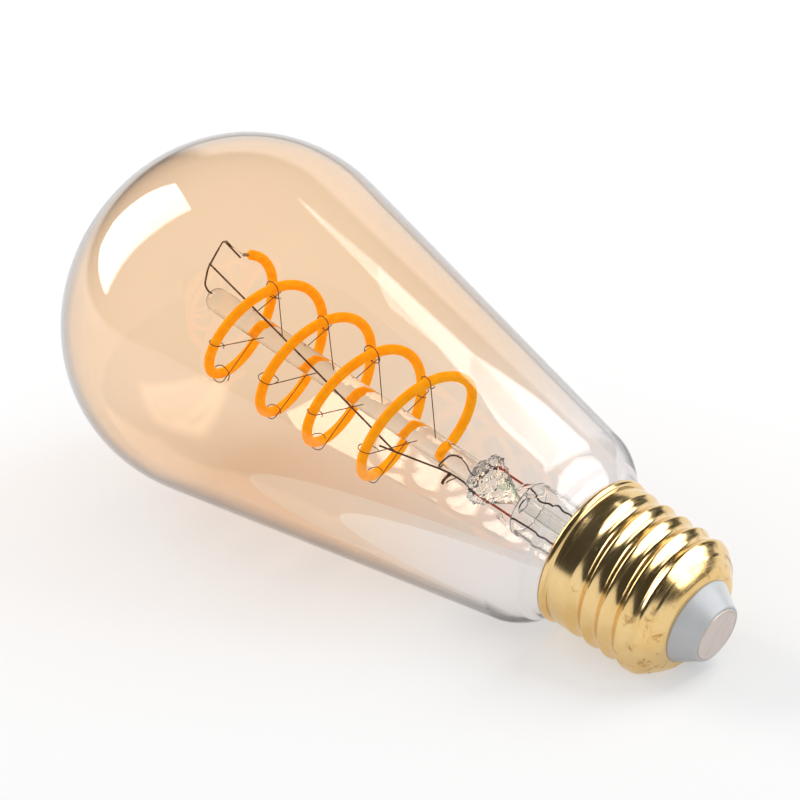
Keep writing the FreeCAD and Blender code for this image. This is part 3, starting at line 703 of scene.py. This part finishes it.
class LAMP_OT_cap_end(Operator):
    """Mould the insulator and press the end contact into it"""
    bl_idname = "lamp.cap_end"
    bl_label = "Insulator and contact"

    def execute(self, context):
        s = context.scene.lamp_cap
        hole, plug, top, lip, floor = 0.9 * MM, 7.1 * MM, 6.3 * MM, 0.35 * MM, 0.8 * MM
        slope = math.degrees(math.atan2(s.seat_height - s.step, s.seat - s.tip))
        cone = np.vstack([
            [(hole, floor)], [(s.contact - 0.02 * MM, floor)], [(s.contact + 0.03 * MM, s.step + lip)],
            arc_line(s.tip - 0.02 * MM, s.step + lip, lip, -150, slope - 90, 10),
            straight_line((s.tip + 0.6 * MM, s.step + 0.9 * MM), (s.seat - 0.05 * MM, s.seat_height), 16),
            [(plug, s.seat_height + 0.2 * MM)], [(plug, top)], [(hole, top)]])
        rings = turned_rings(cone[:, 0], cone[:, 1], 144)
        finished(skin("cap_insulator_cone", [rings], closed=True), insulator_finish(s), "insulator",
                 "cap_insulator")
        edge = 0.22 * MM
        disc = np.vstack([
            straight_line((0.02 * MM, 0.02 * MM), (s.contact - 1.1 * MM, 0.0), 8),
            straight_line((s.contact - 1.0 * MM, 0.0), (s.contact - edge, 0.01 * MM), 4),
            arc_line(s.contact - edge, edge, edge, -90, 0, 7),
            [(s.contact, floor)], [(0.02 * MM, floor)]])
        rings = turned_rings(disc[:, 0], disc[:, 1], 128)
        finished(skin("end_contact_disc", [rings]), nickel_finish(s), "contact_metal", "end_contact")
        return {"FINISHED"}


# ---- filament ---------------------------------------------------------------------
# The coil isn't quite even. At every half turn from the first it stands wider than the plain coil and
# higher than it by these millimetres.
WIDER = (0.0, 0.4, -0.3, 0.9, -0.1, 0.7, 0.0, 0.2, 1.6, 0.0)
HIGHER = (0.0, 0.6, -0.2, -0.5, -0.5, 0.2, -0.5, -0.7, -1.1, 0.0)


def uneven(turned, marks):
    """Smooth line through the marks at the half turns, as the filament turns past them."""
    halves = np.arange(len(marks)) * 0.5
    line = curve_through(np.stack([halves, np.array(marks)], -1), 16)
    return np.interp(turned, line[:, 0], line[:, 1]) * MM


def coil_line(s, turned):
    """Centre line of the filament: radius r(t), angle start + 360 t and height top - pitch t. In the tail
    the radius eases in to the stem, and in the head it is drawn in as the square of what is left."""
    run_in = smooth_step((turned - s.turns) / s.tail_turn)
    head = np.clip(1 - turned / s.head_turn, 0, 1) ** 2
    radius = s.radius + uneven(turned, WIDER) * (1 - run_in)
    radius = radius + (s.tail_radius - radius) * run_in + (s.head_radius - s.radius) * head
    angle = np.radians(s.start_angle + 360 * turned)
    height = s.top - s.pitch * turned + uneven(turned, HIGHER) * (1 - run_in)
    return np.stack([radius * np.cos(angle), radius * np.sin(angle), height], -1)


def filament_ends(s):
    """The filament's centre line and the far ends of its two metal tabs."""
    line = coil_line(s, np.linspace(0, s.turns + s.tail_turn, 420))

    def beyond(end, before):
        way = end - before
        return end + way / np.linalg.norm(way) * s.tab

    return line, beyond(line[0], line[1]), beyond(line[-1], line[-2])


class LAMP_OT_filament(Operator):
    """Coil the flexible filament and crimp its metal ends"""
    bl_idname = "lamp.filament"
    bl_label = "Filament"

    def execute(self, context):
        s = context.scene.lamp_filament
        line, top_end, low_end = filament_ends(s)
        strand = tube_rings(line, s.strand, 20, 6)
        finished(skin("filament_strand", [strand]), phosphor_finish(s), "filament", "led_filament")
        t = np.linspace(0, 1, 12)[:, None]
        flat = 0.30 * MM
        tabs = [tube_rings(line[0] * (1 - t) + top_end * t, flat, 12, 3),
                tube_rings(line[-1] * (1 - t) + low_end * t, flat, 12, 3)]
        finished(skin("filament_end_tabs", tabs), wire_finish("tab_metal", (0.42, 0.36, 0.30), 0.34),
                 "tab_metal", "filament_tab_top", "filament_tab_low")
        return {"FINISHED"}


# Directions from the axis in which a hook stands, in degrees.
HOOK_ANGLES = (-50.0, 50.0, 162.0, 234.0)


def hook_places(s):
    """Turns from the filament's top at which a hook holds it."""
    whole = np.arange(int(s.turns) + 2)[:, None]
    places = (whole + (np.array(HOOK_ANGLES)[None] - s.start_angle) / 360).ravel()
    return np.sort(places[(places > 0.1) & (places < s.turns - 0.1)])


def hook_line(s, number, turned, rod_radius, count=44):
    """Hook wire near the plane through the axis: straight from the rod, then loosely round the strand, then
    an open curl whose radius grows. The loop slips along the strand, and its size, its sweep and its slip
    differ from hook to hook."""
    centre = coil_line(s, np.array([turned]))[0]
    angle = math.atan2(centre[1], centre[0])
    bend = s.strand + s.hook + s.hook_gap * (1 + 0.45 * math.sin(2.4 * number))
    root = np.array([rod_radius - 0.6 * MM, centre[2] - s.hook_lean])
    eye = np.array([math.hypot(centre[0], centre[1]), centre[2]])
    eye = eye + 0.3 * s.hook_gap * np.array([math.cos(1.7 * number), math.sin(1.7 * number)])
    across = eye - root
    lift = math.degrees(math.atan2(across[1], across[0]))
    first = lift - 90 + math.degrees(math.asin(bend / np.hypot(*across)))
    t = np.linspace(0, 1, count)
    turn = np.radians(first + (s.hook_sweep + 30 * math.sin(1.3 * number)) * t)
    grow = bend * (1 - 0.18 * smooth_step(t / 0.7) + 0.45 * smooth_step((t - 0.72) / 0.28))
    bow = np.stack([eye[0] + grow * np.cos(turn), eye[1] + grow * np.sin(turn)], -1)
    arm = straight_line(root, bow[0], 10)[:-1]
    line = np.vstack([arm, bow])
    slip = np.concatenate([np.zeros(len(arm)), s.hook_gap * 1.2 * t * math.cos(2.1 * number)])
    return np.stack([line[:, 0] * math.cos(angle) - slip * math.sin(angle),
                     line[:, 0] * math.sin(angle) + slip * math.cos(angle), line[:, 1]], -1)


class LAMP_OT_hooks(Operator):
    """Bend the thin hooks that hold the filament to the rod"""
    bl_idname = "lamp.hooks"
    bl_label = "Filament hooks"

    def execute(self, context):
        s = context.scene.lamp_filament
        rod = context.scene.lamp_stem.rod
        rings = [tube_rings(hook_line(s, number, turned, rod), s.hook, 8, 3)
                 for number, turned in enumerate(hook_places(s))]
        finished(skin("filament_hooks", rings), wire_finish("hook_wire", tuple(s.hook_wire), 0.42),
                 "brown_wire", *nodes_like("support_hook_"))
        return {"FINISHED"}


# ---- stem -------------------------------------------------------------------------
class LAMP_OT_stem(Operator):
    """Shape the glass stem: flare tube, pinched end, rod and pumping tube"""
    bl_idname = "lamp.stem"
    bl_label = "Glass stem"

    def execute(self, context):
        s = context.scene.lamp_stem
        bulb = context.scene.lamp_bulb
        clear = stem_glass_finish(s, "tube_glass", 0.12, 260.0, 1.08)
        glass = stem_glass_finish(s, "rod_glass", 0.2, 300.0, 1.28, 0.0, (0.92, 0.895, 0.865))
        lumpy = stem_glass_finish(s, "pressed_glass", 1.0, 650.0, 1.45, 0.8)

        dome = 1.9 * MM
        z = np.concatenate([np.linspace(s.press_top - 1.0 * MM, s.rod_top - dome, 110),
                            s.rod_top - dome * (1 - np.sin(np.radians(np.linspace(6, 88, 14))))])
        rod_r = s.rod * (1 + 0.02 * np.sin(z * 300) + 0.012 * np.sin(z * 811 + 1))
        round_top = np.sqrt(1 - np.clip((z - s.rod_top + dome) / dome, 0, 1) ** 2)
        rings = turned_rings(rod_r * round_top, z, 40)
        finished(skin("stem_rod_glass", [rings]), glass, "stem_glass", "stem_rod")

        t = np.linspace(0, 1, 90)
        angle = np.linspace(0, TURN, 96, endpoint=False)[None, :]
        pinch = smooth_step(t / 0.8)[:, None]
        shut = (1 - 0.42 * smooth_step((t - 0.8) / 0.2))[:, None] * np.sqrt(1 - (1 - t[:, None]) ** 8 * 0.96)
        half_x = 0.5 * s.press_width * (0.34 + 0.66 * pinch) * shut
        half_y = 0.5 * s.press_thick * (0.66 + 0.34 * pinch) * (0.5 + 0.5 * shut)
        along = t[:, None]
        lumps = 1 + pinch * (0.05 * np.sin(3 * angle + 9 * along) + 0.045 * np.sin(7 * angle - 25 * along)
                             + 0.04 * np.sin(11 * angle + 47 * along) + 0.04 * np.sin(38 * along + 2 * angle)
                             + 0.03 * np.sin(17 * angle - 63 * along))
        z = s.press_low + (s.press_top - s.press_low) * along + 0 * angle
        rings = np.stack([half_x * lumps * np.cos(angle), half_y * lumps * np.sin(angle), z], -1)
        finished(skin("stem_press_glass", [rings]), lumpy, "stem_glass", "stem_press")

        # Threads of glass that the pincers drew out of the tube's end.
        loop = curve_through(np.array([(1.3, -1.7, 43.6), (2.6, -1.9, 43.0), (3.8, -1.5, 41.6),
                                       (4.0, -1.2, 40.2), (3.3, -1.0, 39.7), (2.4, -1.1, 40.6),
                                       (1.4, -1.5, 42.2)]) * MM, 8)
        drip = curve_through(np.array([(-3.6, -1.2, 44.2), (-4.0, -1.4, 43.2), (-4.5, -1.3, 41.9)]) * MM, 8)
        threads = [tube_rings(loop, 0.30 * MM, 12, 4),
                   tube_rings(drip, np.linspace(0.55, 0.22, len(drip)) * MM, 12, 4)]
        finished(skin("stem_glass_threads", threads), glass, "stem_glass")

        foot = bulb.neck - bulb.wall
        u = np.linspace(0, 1, 30)
        outer = np.stack([s.tube + (foot - s.tube) * smooth_step(u), s.flare + (bulb.foot - s.flare) * u], -1)
        tube = straight_line((s.tube, s.tube_top), (s.tube, s.flare), 30)
        outside = thinned(np.vstack([tube, outer]))
        inside = outside[::-1] - np.array([s.tube_wall, 0])
        line = np.vstack([outside, inside])
        wave = 1 + 0.012 * np.sin(2 * angle + line[:, 1:2] * 400)
        rings = turned_rings(line[:, :1] * wave, line[:, 1], angle.size)
        finished(skin("stem_flare_glass", [rings], closed=True), clear, "stem_glass", "stem_flare_tube")

        tip_z = s.exhaust_tip + s.exhaust
        line = np.vstack([
            arc_line(0, tip_z, s.exhaust, -89, 0, 12),
            straight_line((s.exhaust, tip_z + 0.5 * MM), (s.exhaust, s.exhaust_top), 16),
            straight_line((s.exhaust_bore, s.exhaust_top), (s.exhaust_bore, tip_z), 16),
            [(0.02 * MM, tip_z)]])
        finished(skin("pumping_tube_glass", [turned_rings(line[:, 0], line[:, 1], 40)]), clear, "stem_glass",
                 "exhaust_tube")
        return {"FINISHED"}


class LAMP_OT_wires(Operator):
    """Draw the lead wires, sealed wires, top support and return wire"""
    bl_idname = "lamp.wires"
    bl_label = "Wires"

    def execute(self, context):
        s = context.scene.lamp_stem
        f = context.scene.lamp_filament
        line, top_end, low_end = filament_ends(f)
        x, press, rod_top, foot_z = s.lead_x / MM, s.press_top / MM, s.rod_top / MM, 18.4
        dark = wire_finish("dark_wire", tuple(s.wire), 0.36)

        def draw(name, node, slot, finish, route, ease, radius=s.lead, columns=10):
            """Round wire along a route in millimetres, with bends eased over so many millimetres."""
            rings = tube_rings(bent_line(np.array(route) * MM, ease * MM, 8), radius, columns, 3)
            finished(skin(name, [rings]), finish, slot, node)

        left = [(-x, 0, 50.2), (-x, 0, 50.8), (0.5 - x, -0.2, press + 1.1), (0.3 - x, -0.8, press + 4.2),
                (-5.2, -3.3, 68.8)]
        draw("inner_lead_left_wire", "inner_lead_left", "dark_wire", dark, left, 1.5)
        end = np.array([low_end[0], low_end[1], low_end[2] - s.lead - 0.32 * MM]) / MM
        thick = [(0.75, -2.6, 54.8), (0.6, -2.7, 56.1), (0.0, -2.7, 57.1), (-2.2, -1.9, 58.2),
                 (-2.9, 1.2, 59.2), end]
        thin = [(x, 0, 50.2), (0.9, 0, 50.8), (-0.5, -0.4, 51.6), (-0.5, -1.9, 52.5), (0.3, -2.4, 53.7),
                (0.72, -2.6, 55.0)]
        stub = [(x, 0, 50.0), (2.05, 0, 49.6), (2.3, 0, 51.3), (1.7, 0.2, 51.9)]
        pieces = [tube_rings(bent_line(np.array(route) * MM, ease * MM, 8), radius, 10, 3)
                  for route, ease, radius in ((thick, 1.2, s.lead), (thin, 0.8, s.fine), (stub, 0.5, s.lead))]
        finished(skin("inner_lead_right_wire", pieces), dark, "dark_wire", "inner_lead_right")
        out_left = [(-x, 0, 42.6), (-x, 0, 41.6), (-x + 0.15, 0.1, 38.2), (-x + 0.1, 0, 34.0),
                    (-x - 0.3, 0, 28.0), (-x - 0.3, 0, foot_z)]
        draw("outer_lead_left_wire", "outer_lead_left", "dark_wire", dark, out_left, 2.0)
        out_right = [(x, 0, 42.6), (x, 0, 41.8), (x - 0.8, 0, 40.4), (x - 0.75, 0, 39.6),
                     (x - 0.2, 0.1, 38.4), (x - 0.3, -0.1, 37.4), (x + 0.05, 0.1, 36.2),
                     (x - 0.05, -0.1, 35.2), (x + 0.2, 0, 33.6), (x + 0.4, 0, 27.0), (x + 0.4, 0, foot_z)]
        draw("outer_lead_right_wire", "outer_lead_right", "dark_wire", dark, out_right, 0.5)

        red = wire_finish("seal_copper", tuple(s.copper), 0.3, 0.35, 600.0)
        for name, place in (("left", -x), ("right", x)):
            route = [(place, 0, s.seal_low / MM), (place, 0, 46.4), (place, 0, s.seal_high / MM)]
            draw("seal_wire_%s_copper" % name, "seal_wire_" + name, "seal_copper", red, route, 1.0,
                 s.seal, 12)

        front = -(s.rod + 0.3 * MM) / MM
        behind = front + 0.42
        corner, foot = (9.15, behind - 0.4, rod_top + 2.45), (8.2, behind - 0.4, 111.5)
        bend = (3.6, behind, rod_top + 2.1)
        support = [(0.35, -1.2, rod_top - 1.2), (0.35, -1.2, rod_top), (1.0, -1.55, rod_top + 1.1), bend,
                   corner, foot]
        draw("top_support_wire_bent", "top_support_wire", "dark_wire", dark, support, 0.75)
        joint = np.array(bend) * 0.85 + np.array(corner) * 0.15 + np.array((0, -0.42, 0))
        weld = np.array((-4.55, -3.14, 65.9))
        middle = (joint + weld) / 2 + np.array((0.12, -0.08, 0))
        draw("return_wire_long", "return_wire", "dark_wire", dark, [joint, middle, weld], 20.0)

        aside = np.array((s.lead + s.fine, 0, 0)) / MM
        tab = top_end / MM
        fine = [tab, np.array(foot) * 0.45 + np.array(corner) * 0.55 + aside,
                np.array(foot) * 0.1 + np.array(corner) * 0.9 + aside]
        draw("filament_tab_wire_fine", "filament_tab_wire", "tab_metal", wire_finish(
            "tab_wire", (0.42, 0.34, 0.26), 0.32, 0.7), fine, 0.6, s.fine, 8)
        self.crimp(s, press)
        return {"FINISHED"}

    def crimp(self, s, press):
        """Plate folded round the left lead: its section is a flat ring whose half width and half depth swell
        where it holds the wire; a thin wire runs from its free end back to the lead."""
        share = np.linspace(0, 1, 30)[:, None]
        angle = np.linspace(0, TURN, 20, endpoint=False)[None, :]
        knot = np.exp(-((share - 0.84) / 0.10) ** 2) + 0.5 * np.exp(-((share - 0.12) / 0.08) ** 2)
        ends = np.sqrt(np.clip(1 - (2 * share - 1) ** 12, 0.02, 1))
        tall, deep = (0.26 + 0.13 * knot) * ends, (0.09 + 0.10 * knot) * ends
        across = np.sign(np.cos(angle)) * np.abs(np.cos(angle)) ** 0.6 * deep
        upright = np.sign(np.sin(angle)) * np.abs(np.sin(angle)) ** 0.6 * tall
        x = -4.75 + 2.5 * share + 0 * angle
        rings = np.stack([x, -1.02 + across, press + 3.5 + 0.16 * np.sin(5 * share) + upright], -1) * MM
        metal = wire_finish("crimp_metal", (0.24, 0.15, 0.09), 0.34, 0.7, 700.0)
        finished(skin("crimp_plate_folded", [rings]), metal, "tab_metal", "crimp_plate")
        back = np.array([(-4.2, -1.0, press + 3.0), (-3.6, -1.0, press + 2.85), (-2.55, -0.75, press + 2.1)])
        rings = tube_rings(bent_line(back * MM, 0.4 * MM), s.fine, 8, 3)
        finished(skin("crimp_wire_fine", [rings]), metal, "tab_metal", "crimp_wire")


# Pieces hidden in the cap: the finish, its two tones, its roughness and, where they aren't plain, its metal,
# the grain's scale, its relief and how it is stretched.
HIDDEN = {
    "cap_cement": ("cap_cement", (0.55, 0.50, 0.42), (0.66, 0.61, 0.52), 0.85, 0, 700, 0.3),
    "driver_board": ("board_green", (0.02, 0.13, 0.05), (0.03, 0.19, 0.08), 0.4, 0, 900),
    "radio_board": ("board_blue", (0.02, 0.06, 0.16), (0.03, 0.08, 0.22), 0.4, 0, 900),
    "radio_shield": ("shield_tin", (0.55, 0.55, 0.54), (0.68, 0.68, 0.66), 0.3, 1, 600),
    "buffer_capacitor": ("capacitor_sleeve", (0.02, 0.02, 0.025), (0.05, 0.05, 0.06), 0.35),
    "driver_chip": ("chip_epoxy", (0.015, 0.015, 0.016), (0.03, 0.03, 0.032), 0.55, 0, 1500),
    "bridge_rectifier": ("bridge_epoxy", (0.02, 0.02, 0.02), (0.04, 0.04, 0.04), 0.5, 0, 1500),
    "inductor_core": ("ferrite", (0.03, 0.028, 0.026), (0.07, 0.065, 0.06), 0.7, 0, 1300),
    "inductor_winding": ("winding_enamel", (0.45, 0.14, 0.05), (0.68, 0.28, 0.12), 0.3, 1, 300, 0.6,
                         (1, 1, 18)),
    "fuse_resistor": ("resistor_paint", (0.12, 0.32, 0.40), (0.16, 0.40, 0.48), 0.5, 0, 600),
    "live_wire": ("red_sleeve", (0.45, 0.03, 0.02), (0.58, 0.05, 0.03), 0.45, 0, 500),
    "shell_wire": ("black_sleeve", (0.02, 0.02, 0.02), (0.05, 0.05, 0.05), 0.45, 0, 500),
}


class LAMP_OT_driver(Operator):
    """Finish the cement and the driver inside the cap"""
    bl_idname = "lamp.driver"
    bl_label = "Cement and driver"

    def execute(self, context):
        for name, looks in HIDDEN.items():
            finish = plain_finish(*looks)
            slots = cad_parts[name].data.materials
            for i in range(len(slots)):
                slots[i] = finish
        return {"FINISHED"}


# ---- stage ------------------------------------------------------------------------
CAMERA_RIGHT = Vector((0.5564, 0.3783, -0.7398)).normalized()
CAMERA_UP = Vector((0.8309, -0.2570, 0.4935)).normalized()
FLOOR_NORMAL = Vector((0.7150, -0.6580, 0.2347)).normalized()


def studio_directions():
    """Upright of the studio and the camera's level forward and right directions."""
    ahead = CAMERA_UP.cross(CAMERA_RIGHT)
    level = (ahead - FLOOR_NORMAL * ahead.dot(FLOOR_NORMAL)).normalized()
    return level, level.cross(FLOOR_NORMAL).normalized()


def toward(azimuth, elevation):
    """Direction at an azimuth to the right of the camera's level forward and an elevation over the floor."""
    ahead, right = studio_directions()
    a, e = math.radians(azimuth), math.radians(elevation)
    level = ahead * math.cos(a) + right * math.sin(a)
    return (level * math.cos(e) + FLOOR_NORMAL * math.sin(e)).normalized()


# Four-sided patches of directions: azimuth to the right of the camera's level forward, elevation.
SOFTBOX_LEFT = ((-32, 37), (-65, 66), (-80, 6), (-59, 6))
SOFTBOX_RIGHT = ((35, 61), (83, 61), (83, 31), (35, 31))
BACKDROP = ((-12, 26), (42, 30), (42, -25), (-12, -25))

# Softbox cards that show in mirrored rays alone. Each has its direction from the lamp, the height of the
# point on the axis that it faces and its distance in millimetres, and its corners there: x along the lamp's
# axis, y across it.
CARDS = {
    "left": ((-61, 29), 107, 450, ((-260, -200), (-180, -20), (0, 250), (110, 125), (165, 50), (170, -20),
                                   (90, -125), (10, -205))),
    "right": ((42, 56), 60, 300, ((40, 5), (20, -15), (-10, -10), (-15, -85), (-175, -100), (-175, 300),
                                  (-75, 270), (-40, 205), (-30, 130), (-13, 80), (0, 90), (10, 40))),
    "cap": ((100, 38), 10, 130, ((0, -95), (-95, 35), (-45, 75), (15, 60), (45, 5), (35, -50))),
    "inner": ((42, 56), 60, 300, ((35, 0), (-30, -70), (-150, -90), (-150, 250), (-60, 200), (20, 45))),
}
# A soft card's edge stands this far outside it, as part of the card's own width.
SOFT_EDGE = 0.3


class LAMP_OT_stage(Operator):
    """Set the camera, the pale floor, the soft lamps and the studio's surroundings"""
    bl_idname = "lamp.stage"
    bl_label = "Stage"

    def camera(self, s):
        data = bpy.data.cameras.new("lamp_camera")
        data.sensor_width, data.lens = 36.0, s.lens
        data.clip_start, data.clip_end = 0.02, 50.0
        thing = bpy.data.objects.new("lamp_camera", data)
        bpy.context.scene.collection.objects.link(thing)
        back = CAMERA_RIGHT.cross(CAMERA_UP)
        turn = Matrix((CAMERA_RIGHT, CAMERA_UP, back)).transposed().to_4x4()
        thing.matrix_world = Matrix.Translation(Vector(s.eye)) @ turn
        bpy.context.scene.camera = thing

    def floor(self, s):
        ahead, right = studio_directions()
        t = np.linspace(-0.5, 0.5, 9)
        u, v = np.meshgrid(t, t, indexing="ij")
        middle = np.array(FLOOR_NORMAL) * s.floor_lift
        points = middle + s.floor_size * (u[..., None] * np.array(ahead) + v[..., None] * np.array(right))
        rows = np.arange(8)[:, None] * 9
        k = np.arange(8)[None, :]
        quads = np.stack([rows + k, rows + 9 + k, rows + 10 + k, rows + 1 + k], -1).reshape(-1, 4)
        floor = link_mesh("studio_floor", points.reshape(-1, 3), [quads])
        if floor.data.polygons[0].normal.dot(FLOOR_NORMAL) < 0:
            floor.data.flip_normals()
        f = Finish("studio_floor")
        path = f.add("ShaderNodeLightPath").outputs
        seen = f.sum("MAXIMUM", path["Is Camera Ray"], f.sum("MAXIMUM", path["Is Glossy Ray"],
                                                             path["Is Transmission Ray"]))
        # Light that the glass mirrors inside its wall gets no added glow, which leaves the bulb's edge grey.
        walled = f.sum("MULTIPLY", f.over(path["Glossy Depth"], 0.5), f.over(path["Transmission Depth"], 0.5))
        seen = f.sum("SUBTRACT", seen, walled, True)
        tone = f.between(f.noise(f.place(), 3.0), 0.3, 0.7, 0.985, 1.0)
        base = f.blend(tone, (0.0, 0.0, 0.0), tuple(s.floor))
        f.set(Base_Color=base, Roughness=0.9, Specular_IOR_Level=0.0, Emission_Color=(1.0, 1.0, 1.0, 1.0),
              Emission_Strength=f.sum("MULTIPLY", seen, s.floor_glow))
        under = f.add("ShaderNodeNewGeometry").outputs["Backfacing"]
        f.mixed(under, f.shader.outputs[0], f.add("ShaderNodeBsdfTransparent").outputs[0])
        floor.data.materials.append(f.material)

    def card(self, name, glow, depths=(-1, 99), soft=False):
        """Softbox that shows in mirrored rays alone, and among those in the rays that have passed through a
        number of glass faces between the two depths. A soft one has a ring round it in which its share falls
        from 1 to 0."""
        aim, height, distance, outline = CARDS[name]
        out = toward(*aim)
        axis = Vector((0, 0, 1))
        along = (axis - out * axis.dot(out)).normalized()
        across = out.cross(along)
        outline = np.array(outline) * MM
        count = len(outline)
        k = np.arange(count)
        rings, faces = [outline], [k[None, :]]
        if soft:
            centre = outline.mean(0)
            rings.append(centre + (outline - centre) * (1 + 2 * SOFT_EDGE))
            faces.append(np.stack([k, (k + 1) % count, count + (k + 1) % count, count + k], -1))
        flat = np.vstack(rings)
        points = (np.array(axis * height + out * distance) * MM
                  + flat[:, :1] * np.array(along) + flat[:, 1:] * np.array(across))
        card = link_mesh("studio_card_" + name, points, faces)
        share = card.data.attributes.new("share", "FLOAT", "POINT")
        share.data.foreach_set("value", (np.arange(len(flat)) < count).astype(np.float32))
        f = Finish("studio_card_" + name)
        path = f.add("ShaderNodeLightPath").outputs
        mirrored = f.over(path["Glossy Depth"], 0.5)
        direct = f.sum("LESS_THAN", f.sum("ADD", path["Diffuse Depth"], path["Is Shadow Ray"]), 0.5)
        passed = path["Transmission Depth"]
        side = f.sum("MULTIPLY", f.over(passed, depths[0]), f.sum("LESS_THAN", passed, depths[1]))
        shown = f.sum("MULTIPLY", f.sum("MULTIPLY", mirrored, direct), side)
        shown = f.sum("MULTIPLY", shown, f.add("ShaderNodeAttribute", attribute_name="share").outputs["Fac"])
        light = f.add("ShaderNodeEmission", {"Color": (0.94, 0.975, 1.0, 1.0), "Strength": glow})
        f.mixed(shown, f.add("ShaderNodeBsdfTransparent").outputs[0], light.outputs[0])
        f.material.cycles.emission_sampling = "NONE"
        card.data.materials.append(f.material)

    def lamp(self, name, corners, distance, size, power):
        direction = sum((toward(*c) for c in corners), Vector()).normalized()
        target = Vector((0, 0, 0.075))
        data = bpy.data.lights.new(name, "AREA")
        data.shape, data.size, data.size_y, data.energy = "RECTANGLE", size[0], size[1], power
        thing = bpy.data.objects.new(name, data)
        bpy.context.scene.collection.objects.link(thing)
        thing.matrix_world = (Matrix.Translation(target + direction * distance)
                              @ direction.to_track_quat("Z", "Y").to_matrix().to_4x4())
        thing.visible_camera = thing.visible_glossy = thing.visible_transmission = False

    def surroundings(self, s):
        """World: white where it is looked at, a dim studio with a white backdrop and floor in reflections,
        white again in what the glass mirrors twice, and an even glow for everything else."""
        world = bpy.data.worlds.new("studio")
        bpy.context.scene.world = world
        world.use_nodes = True
        world.cycles.sampling_method = "NONE"
        background = world.node_tree.nodes["Background"]
        w = Nodes(world.node_tree)
        way = w.add("ShaderNodeTexCoord").outputs["Generated"]

        def along(vector):
            turn = w.add("ShaderNodeVectorMath", {0: way, 1: tuple(vector)}, operation="DOT_PRODUCT")
            return turn.outputs["Value"]

        def patch(corners, soft):
            """1 inside the four-sided patch of directions: a product over its edges of a soft step on
            direction . (corner x next corner)."""
            ways = [toward(*c) for c in corners]
            middle = sum(ways, Vector())
            share = 1.0
            for a, b in zip(ways, ways[1:] + ways[:1]):
                edge = a.cross(b).normalized()
                if edge.dot(middle) < 0:
                    edge = -edge
                share = w.sum("MULTIPLY", share, w.between(along(edge), -soft, soft))
            return share

        def mixed(share, a, b):
            return w.sum("ADD", a, w.sum("MULTIPLY", share, w.sum("SUBTRACT", b, a)))

        below = w.between(along(FLOOR_NORMAL), -0.06, 0.0, 1.0, 0.0)
        white = w.sum("MAXIMUM", patch(BACKDROP, 0.06), below)
        room = w.sum("ADD", w.sum("MULTIPLY", white, 1.0 - s.dim), s.dim)
        path = w.add("ShaderNodeLightPath").outputs
        mirrored, scattered = w.over(path["Glossy Depth"], 0.5), w.over(path["Diffuse Depth"], 0.5)
        twice = w.sum("MULTIPLY", w.over(path["Glossy Depth"], 1.5), w.over(path["Transmission Depth"], 0.5))
        seen = mixed(w.sum("SUBTRACT", mirrored, twice), 1.0, room)
        w.tree.links.new(mixed(scattered, seen, s.ambient), background.inputs["Strength"])
        background.inputs["Color"].default_value = (1, 1, 1, 1)

    def execute(self, context):
        s = context.scene.lamp_stage
        self.camera(s)
        self.floor(s)
        self.card("left", s.box_glow)
        self.card("right", s.card_glow, (-1, 2.5))
        self.card("cap", s.card_glow, (-1, 2.5))
        self.card("inner", 0.7 * s.card_glow, (2.5, 99), soft=True)
        self.lamp("key_softbox", SOFTBOX_LEFT, 0.9, (0.8, 0.4), s.key_power)
        self.lamp("fill_softbox", SOFTBOX_RIGHT, 0.9, (0.6, 0.4), s.fill_power)
        self.surroundings(s)
        context.scene.view_settings.view_transform = "Standard"
        return {"FINISHED"}


STEPS = (LAMP_OT_bulb, LAMP_OT_cap, LAMP_OT_cap_end, LAMP_OT_filament, LAMP_OT_hooks, LAMP_OT_stem,
         LAMP_OT_wires, LAMP_OT_driver, LAMP_OT_stage)
GROUPS = (("lamp_bulb", LampBulbSettings), ("lamp_cap", LampCapSettings),
          ("lamp_filament", LampFilamentSettings), ("lamp_stem", LampStemSettings),
          ("lamp_stage", LampStageSettings))


class LAMP_PT_parts(Panel):
    """Lists the lamp's steps and settings"""
    bl_idname = "LAMP_PT_parts"
    bl_label = "Filament lamp"
    bl_space_type = "VIEW_3D"
    bl_region_type = "UI"
    bl_category = "Lamp"

    def draw(self, context):
        layout = self.layout
        for step in STEPS:
            layout.operator(step.bl_idname)
        for name, group in GROUPS:
            box = layout.box()
            settings = getattr(context.scene, name)
            for prop in group.__annotations__:
                box.prop(settings, prop)


def register():
    for _, group in GROUPS:
        bpy.utils.register_class(group)
    for thing in STEPS + (LAMP_PT_parts,):
        bpy.utils.register_class(thing)
    for name, group in GROUPS:
        setattr(bpy.types.Scene, name, PointerProperty(type=group))


def unregister():
    for name, _ in GROUPS:
        delattr(bpy.types.Scene, name)
    for thing in (LAMP_PT_parts,) + STEPS[::-1]:
        bpy.utils.unregister_class(thing)
    for _, group in GROUPS[::-1]:
        bpy.utils.unregister_class(group)


def main():
    register()
    bpy.ops.lamp.bulb()
    bpy.ops.lamp.cap()
    bpy.ops.lamp.cap_end()
    bpy.ops.lamp.filament()
    bpy.ops.lamp.hooks()
    bpy.ops.lamp.stem()
    bpy.ops.lamp.wires()
    bpy.ops.lamp.driver()
    bpy.ops.lamp.stage()
    bpy.context.view_layer.update()


if __name__ == "__main__":
    main()
